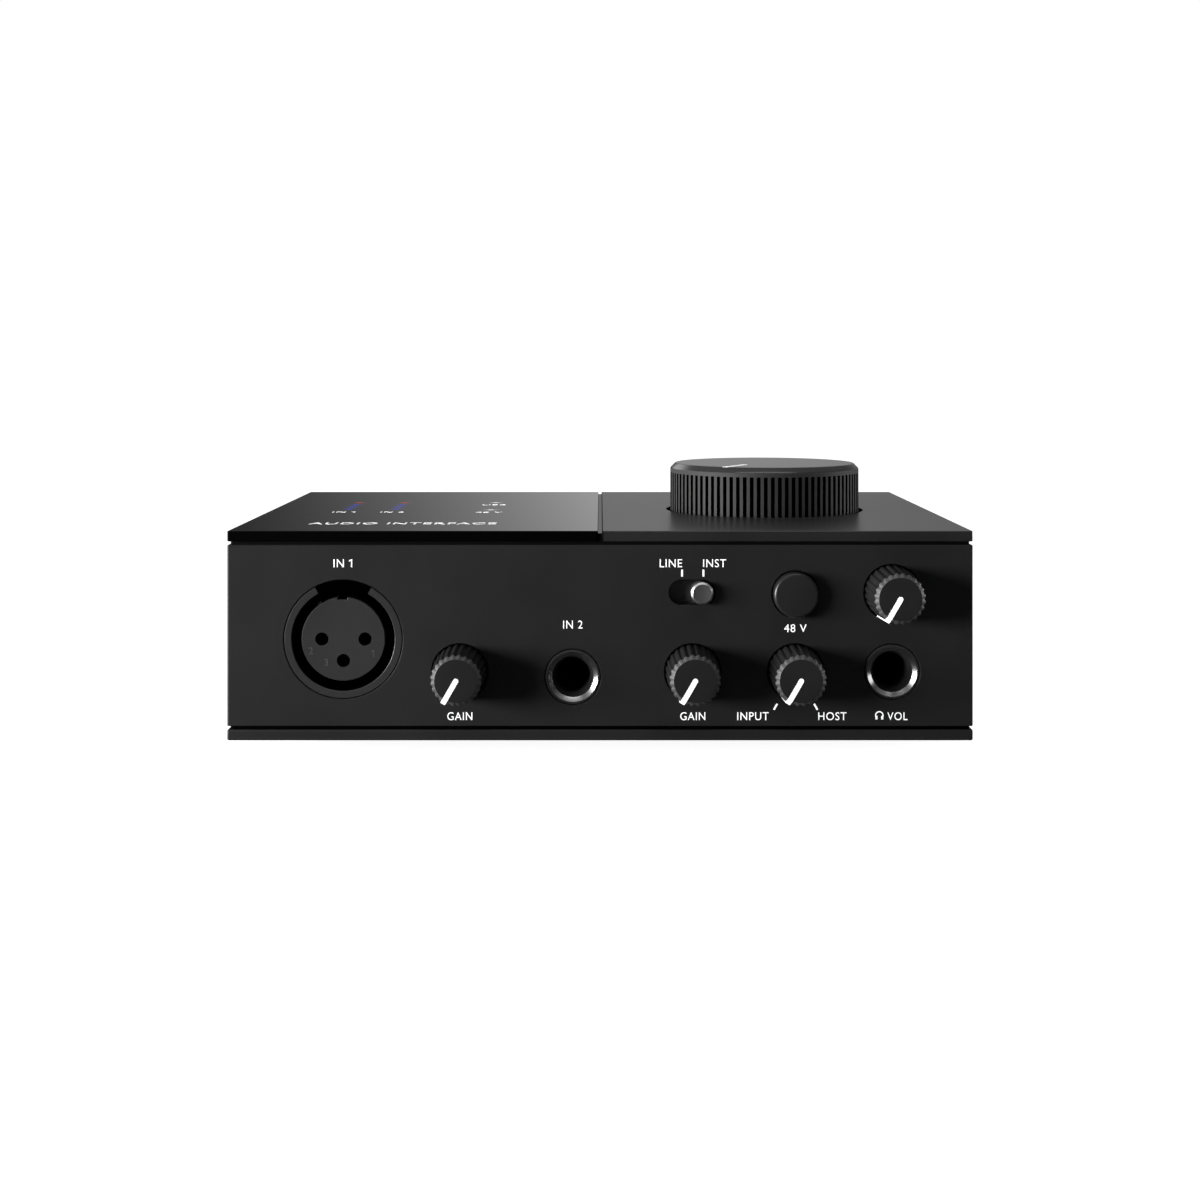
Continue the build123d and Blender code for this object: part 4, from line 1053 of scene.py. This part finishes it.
def add_top_prints():
    """Captions of the lights and a plain generic title on the gloss panel."""
    meter_x = sorted({round(place[0] / MM, 1) for place, colour, reach in light_spots
                      if colour == PEAK_RED})
    left, right = (x * MM for x in meter_x)
    status_x = [place[0] for place, colour, reach in light_spots if colour == STATUS_WHITE][0]
    meter_up, phantom_up, usb_up, title_up = 41.5 * MM, 41.0 * MM, 60.0 * MM, 15.5 * MM
    title_x = -38.6 * MM
    placed = [
        (lettering("IN", CAPTION_CAP, 2.7 * MM), left - 1.1 * MM, meter_up),
        (digit_one(CAPTION_CAP), left + 1.95 * MM, meter_up),
        (lettering("IN 2", CAPTION_CAP, 4.9 * MM), right, meter_up),
        (lettering("48 V", CAPTION_CAP, 5.6 * MM), status_x, phantom_up),
        (lettering("USB", CAPTION_CAP, 5.2 * MM), status_x, usb_up),
        (lettering("AUDIO INTERFACE", TITLE_CAP, 36.6 * MM), title_x, title_up),
    ]
    add_prints("top_captions", placed, Matrix.Translation((0, front_y, panel_top)))


XLR_CONTACT_RADIUS = 1.23 * MM
xlr_axis_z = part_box("xlr_contacts")[1].z - XLR_CONTACT_RADIUS
add_front_prints()
add_pin_numbers()
add_top_prints()


# ------------------------------------------------------ stage, lights, camera

FLOOR_GREY = 0.4
FLOOR_WHITENESS = 0.92
FLOOR_HALF = 6.0
FLOOR_GAP = 0.05 * MM


def add_floor():
    """A plain pale floor that shows white from above and isn't seen from below."""
    build = bmesh.new()
    bmesh.ops.create_grid(build, x_segments=1, y_segments=1, size=FLOOR_HALF)
    material, shader = new_material("pale_floor", FLOOR_GREY, 0.9)
    shader.inputs["Emission Color"].default_value = (1, 1, 1, 1)
    tree = material.node_tree
    path = tree.nodes.new("ShaderNodeLightPath")
    shown = product(tree, path.outputs["Is Camera Ray"], FLOOR_WHITENESS)
    tree.links.new(shown, shader.inputs["Emission Strength"])
    facing = tree.nodes.new("ShaderNodeNewGeometry")
    clear = tree.nodes.new("ShaderNodeBsdfTransparent")
    mix = tree.nodes.new("ShaderNodeMixShader")
    tree.links.new(facing.outputs["Backfacing"], mix.inputs[0])
    tree.links.new(shader.outputs[0], mix.inputs[1])
    tree.links.new(clear.outputs[0], mix.inputs[2])
    tree.links.new(mix.outputs[0], tree.nodes["Material Output"].inputs["Surface"])
    mesh = mesh_from(build, "floor", [material], turn_outward=False)
    mesh.transform(Matrix.Translation((0, 0, -FLOOR_GAP)))
    floor = bpy.data.objects.new("floor", mesh)
    floor.visible_glossy = False
    bpy.context.scene.collection.objects.link(floor)


def add_soft_light(name, place, target, width, height, power):
    """A rectangular soft light aimed at a point."""
    light = bpy.data.lights.new(name, "AREA")
    light.shape = "RECTANGLE"
    light.size, light.size_y = width, height
    light.energy = power
    lamp = bpy.data.objects.new(name, light)
    direction = Vector(target) - Vector(place)
    lamp.rotation_euler = direction.to_track_quat("-Z", "Y").to_euler()
    lamp.location = place
    lamp.visible_camera = False
    bpy.context.scene.collection.objects.link(lamp)


def add_lights():
    """A strong key from the left, with weak fills from above and from the right."""
    add_soft_light("key", (-1.0, -0.43, 0.12), (0, front_y, 0.02), 0.9, 0.35, 44.0)
    add_soft_light("overhead", (0.0, -0.38, 1.0), (0, -0.05, 0.0), 0.9, 0.3, 2.0)
    add_soft_light("right_front", (0.8, -0.2, 0.1), (0, front_y, 0.02), 0.3, 0.25, 0.5)
    add_soft_light("right_rear", (0.8, 0.15, 0.12), (0.03, 0, 0.045), 0.4, 0.3, 4.0)


CARD_STRENGTH = 0.6
CEILING_STRENGTH = 0.3
REAR_LEFT_STRENGTH = 1.8
RAISED_STRENGTH = 1.6
FILL_STRENGTH = 0.03


def soft_cards(tree, x, y, z):
    """The world's strength by direction, from a few soft cards behind and a weak fill."""
    def step(value, start, end, low=0.0, high=1.0):
        return map_range(tree, value, start, end, low, high, "SMOOTHSTEP")

    behind = step(y, 0.2, 0.7)
    rise = map_range(tree, x, -0.25, 0.0, 0.0, 1.0)
    to_right = step(x, 0.0, 0.35, CARD_STRENGTH, 0.45 * CARD_STRENGTH)
    card = product(tree, rise, rise, to_right, behind, step(z, 0.2, 0.5, 1.0, 0.4))
    ceiling = step(z, 0.3, 0.9, 0.0, CEILING_STRENGTH)
    rear_left = product(tree, step(x, -0.4, -0.6, 0.0, REAR_LEFT_STRENGTH), step(y, 0.1, 0.5),
                        step(z, 0.3, 0.6, 1.0, 0.0))
    raised = product(tree, step(x, -0.18, -0.32, 0.0, RAISED_STRENGTH),
                     step(x, -0.5, -0.65, 1.0, 0.0), step(z, 0.14, 0.25),
                     step(z, 0.42, 0.6, 1.0, 0.0), behind)
    return total(tree, card, ceiling, rear_left, raised, FILL_STRENGTH)


def studio_world():
    """White to the eye, while light and reflections come from soft cards."""
    world = bpy.data.worlds.new("studio")
    bpy.context.scene.world = world
    world.use_nodes = True
    tree = world.node_tree
    tree.nodes.clear()
    place = tree.nodes.new("ShaderNodeTexCoord")
    parts = tree.nodes.new("ShaderNodeSeparateXYZ")
    tree.links.new(place.outputs["Generated"], parts.inputs[0])
    seen, lit = tree.nodes.new("ShaderNodeBackground"), tree.nodes.new("ShaderNodeBackground")
    seen.inputs["Color"].default_value = (1, 1, 1, 1)
    tree.links.new(soft_cards(tree, *parts.outputs), lit.inputs["Strength"])
    path = tree.nodes.new("ShaderNodeLightPath")
    mix = tree.nodes.new("ShaderNodeMixShader")
    tree.links.new(path.outputs["Is Camera Ray"], mix.inputs[0])
    tree.links.new(lit.outputs[0], mix.inputs[1])
    tree.links.new(seen.outputs[0], mix.inputs[2])
    output = tree.nodes.new("ShaderNodeOutputWorld")
    tree.links.new(mix.outputs[0], output.inputs["Surface"])


CAMERA_LENS, CAMERA_SENSOR = 54.53, 36.0
CAMERA_SHIFT = -0.2028
CAMERA_DISTANCE = 341 * MM
CAMERA_RISE = 32.7 * MM


def add_camera():
    """A level camera in front of the case, its view shifted down to frame the object."""
    camera_data = bpy.data.cameras.new("camera")
    camera_data.lens = CAMERA_LENS
    camera_data.sensor_width = CAMERA_SENSOR
    camera_data.shift_y = CAMERA_SHIFT
    camera_data.clip_start = 0.01
    camera = bpy.data.objects.new("camera", camera_data)
    camera.location = (0.0, front_y - CAMERA_DISTANCE, panel_top + CAMERA_RISE)
    camera.rotation_euler = (pi / 2, 0, 0)
    bpy.context.scene.collection.objects.link(camera)
    bpy.context.scene.camera = camera


bpy.context.scene.view_settings.view_transform = "Standard"
add_floor()
add_lights()
studio_world()
add_camera()
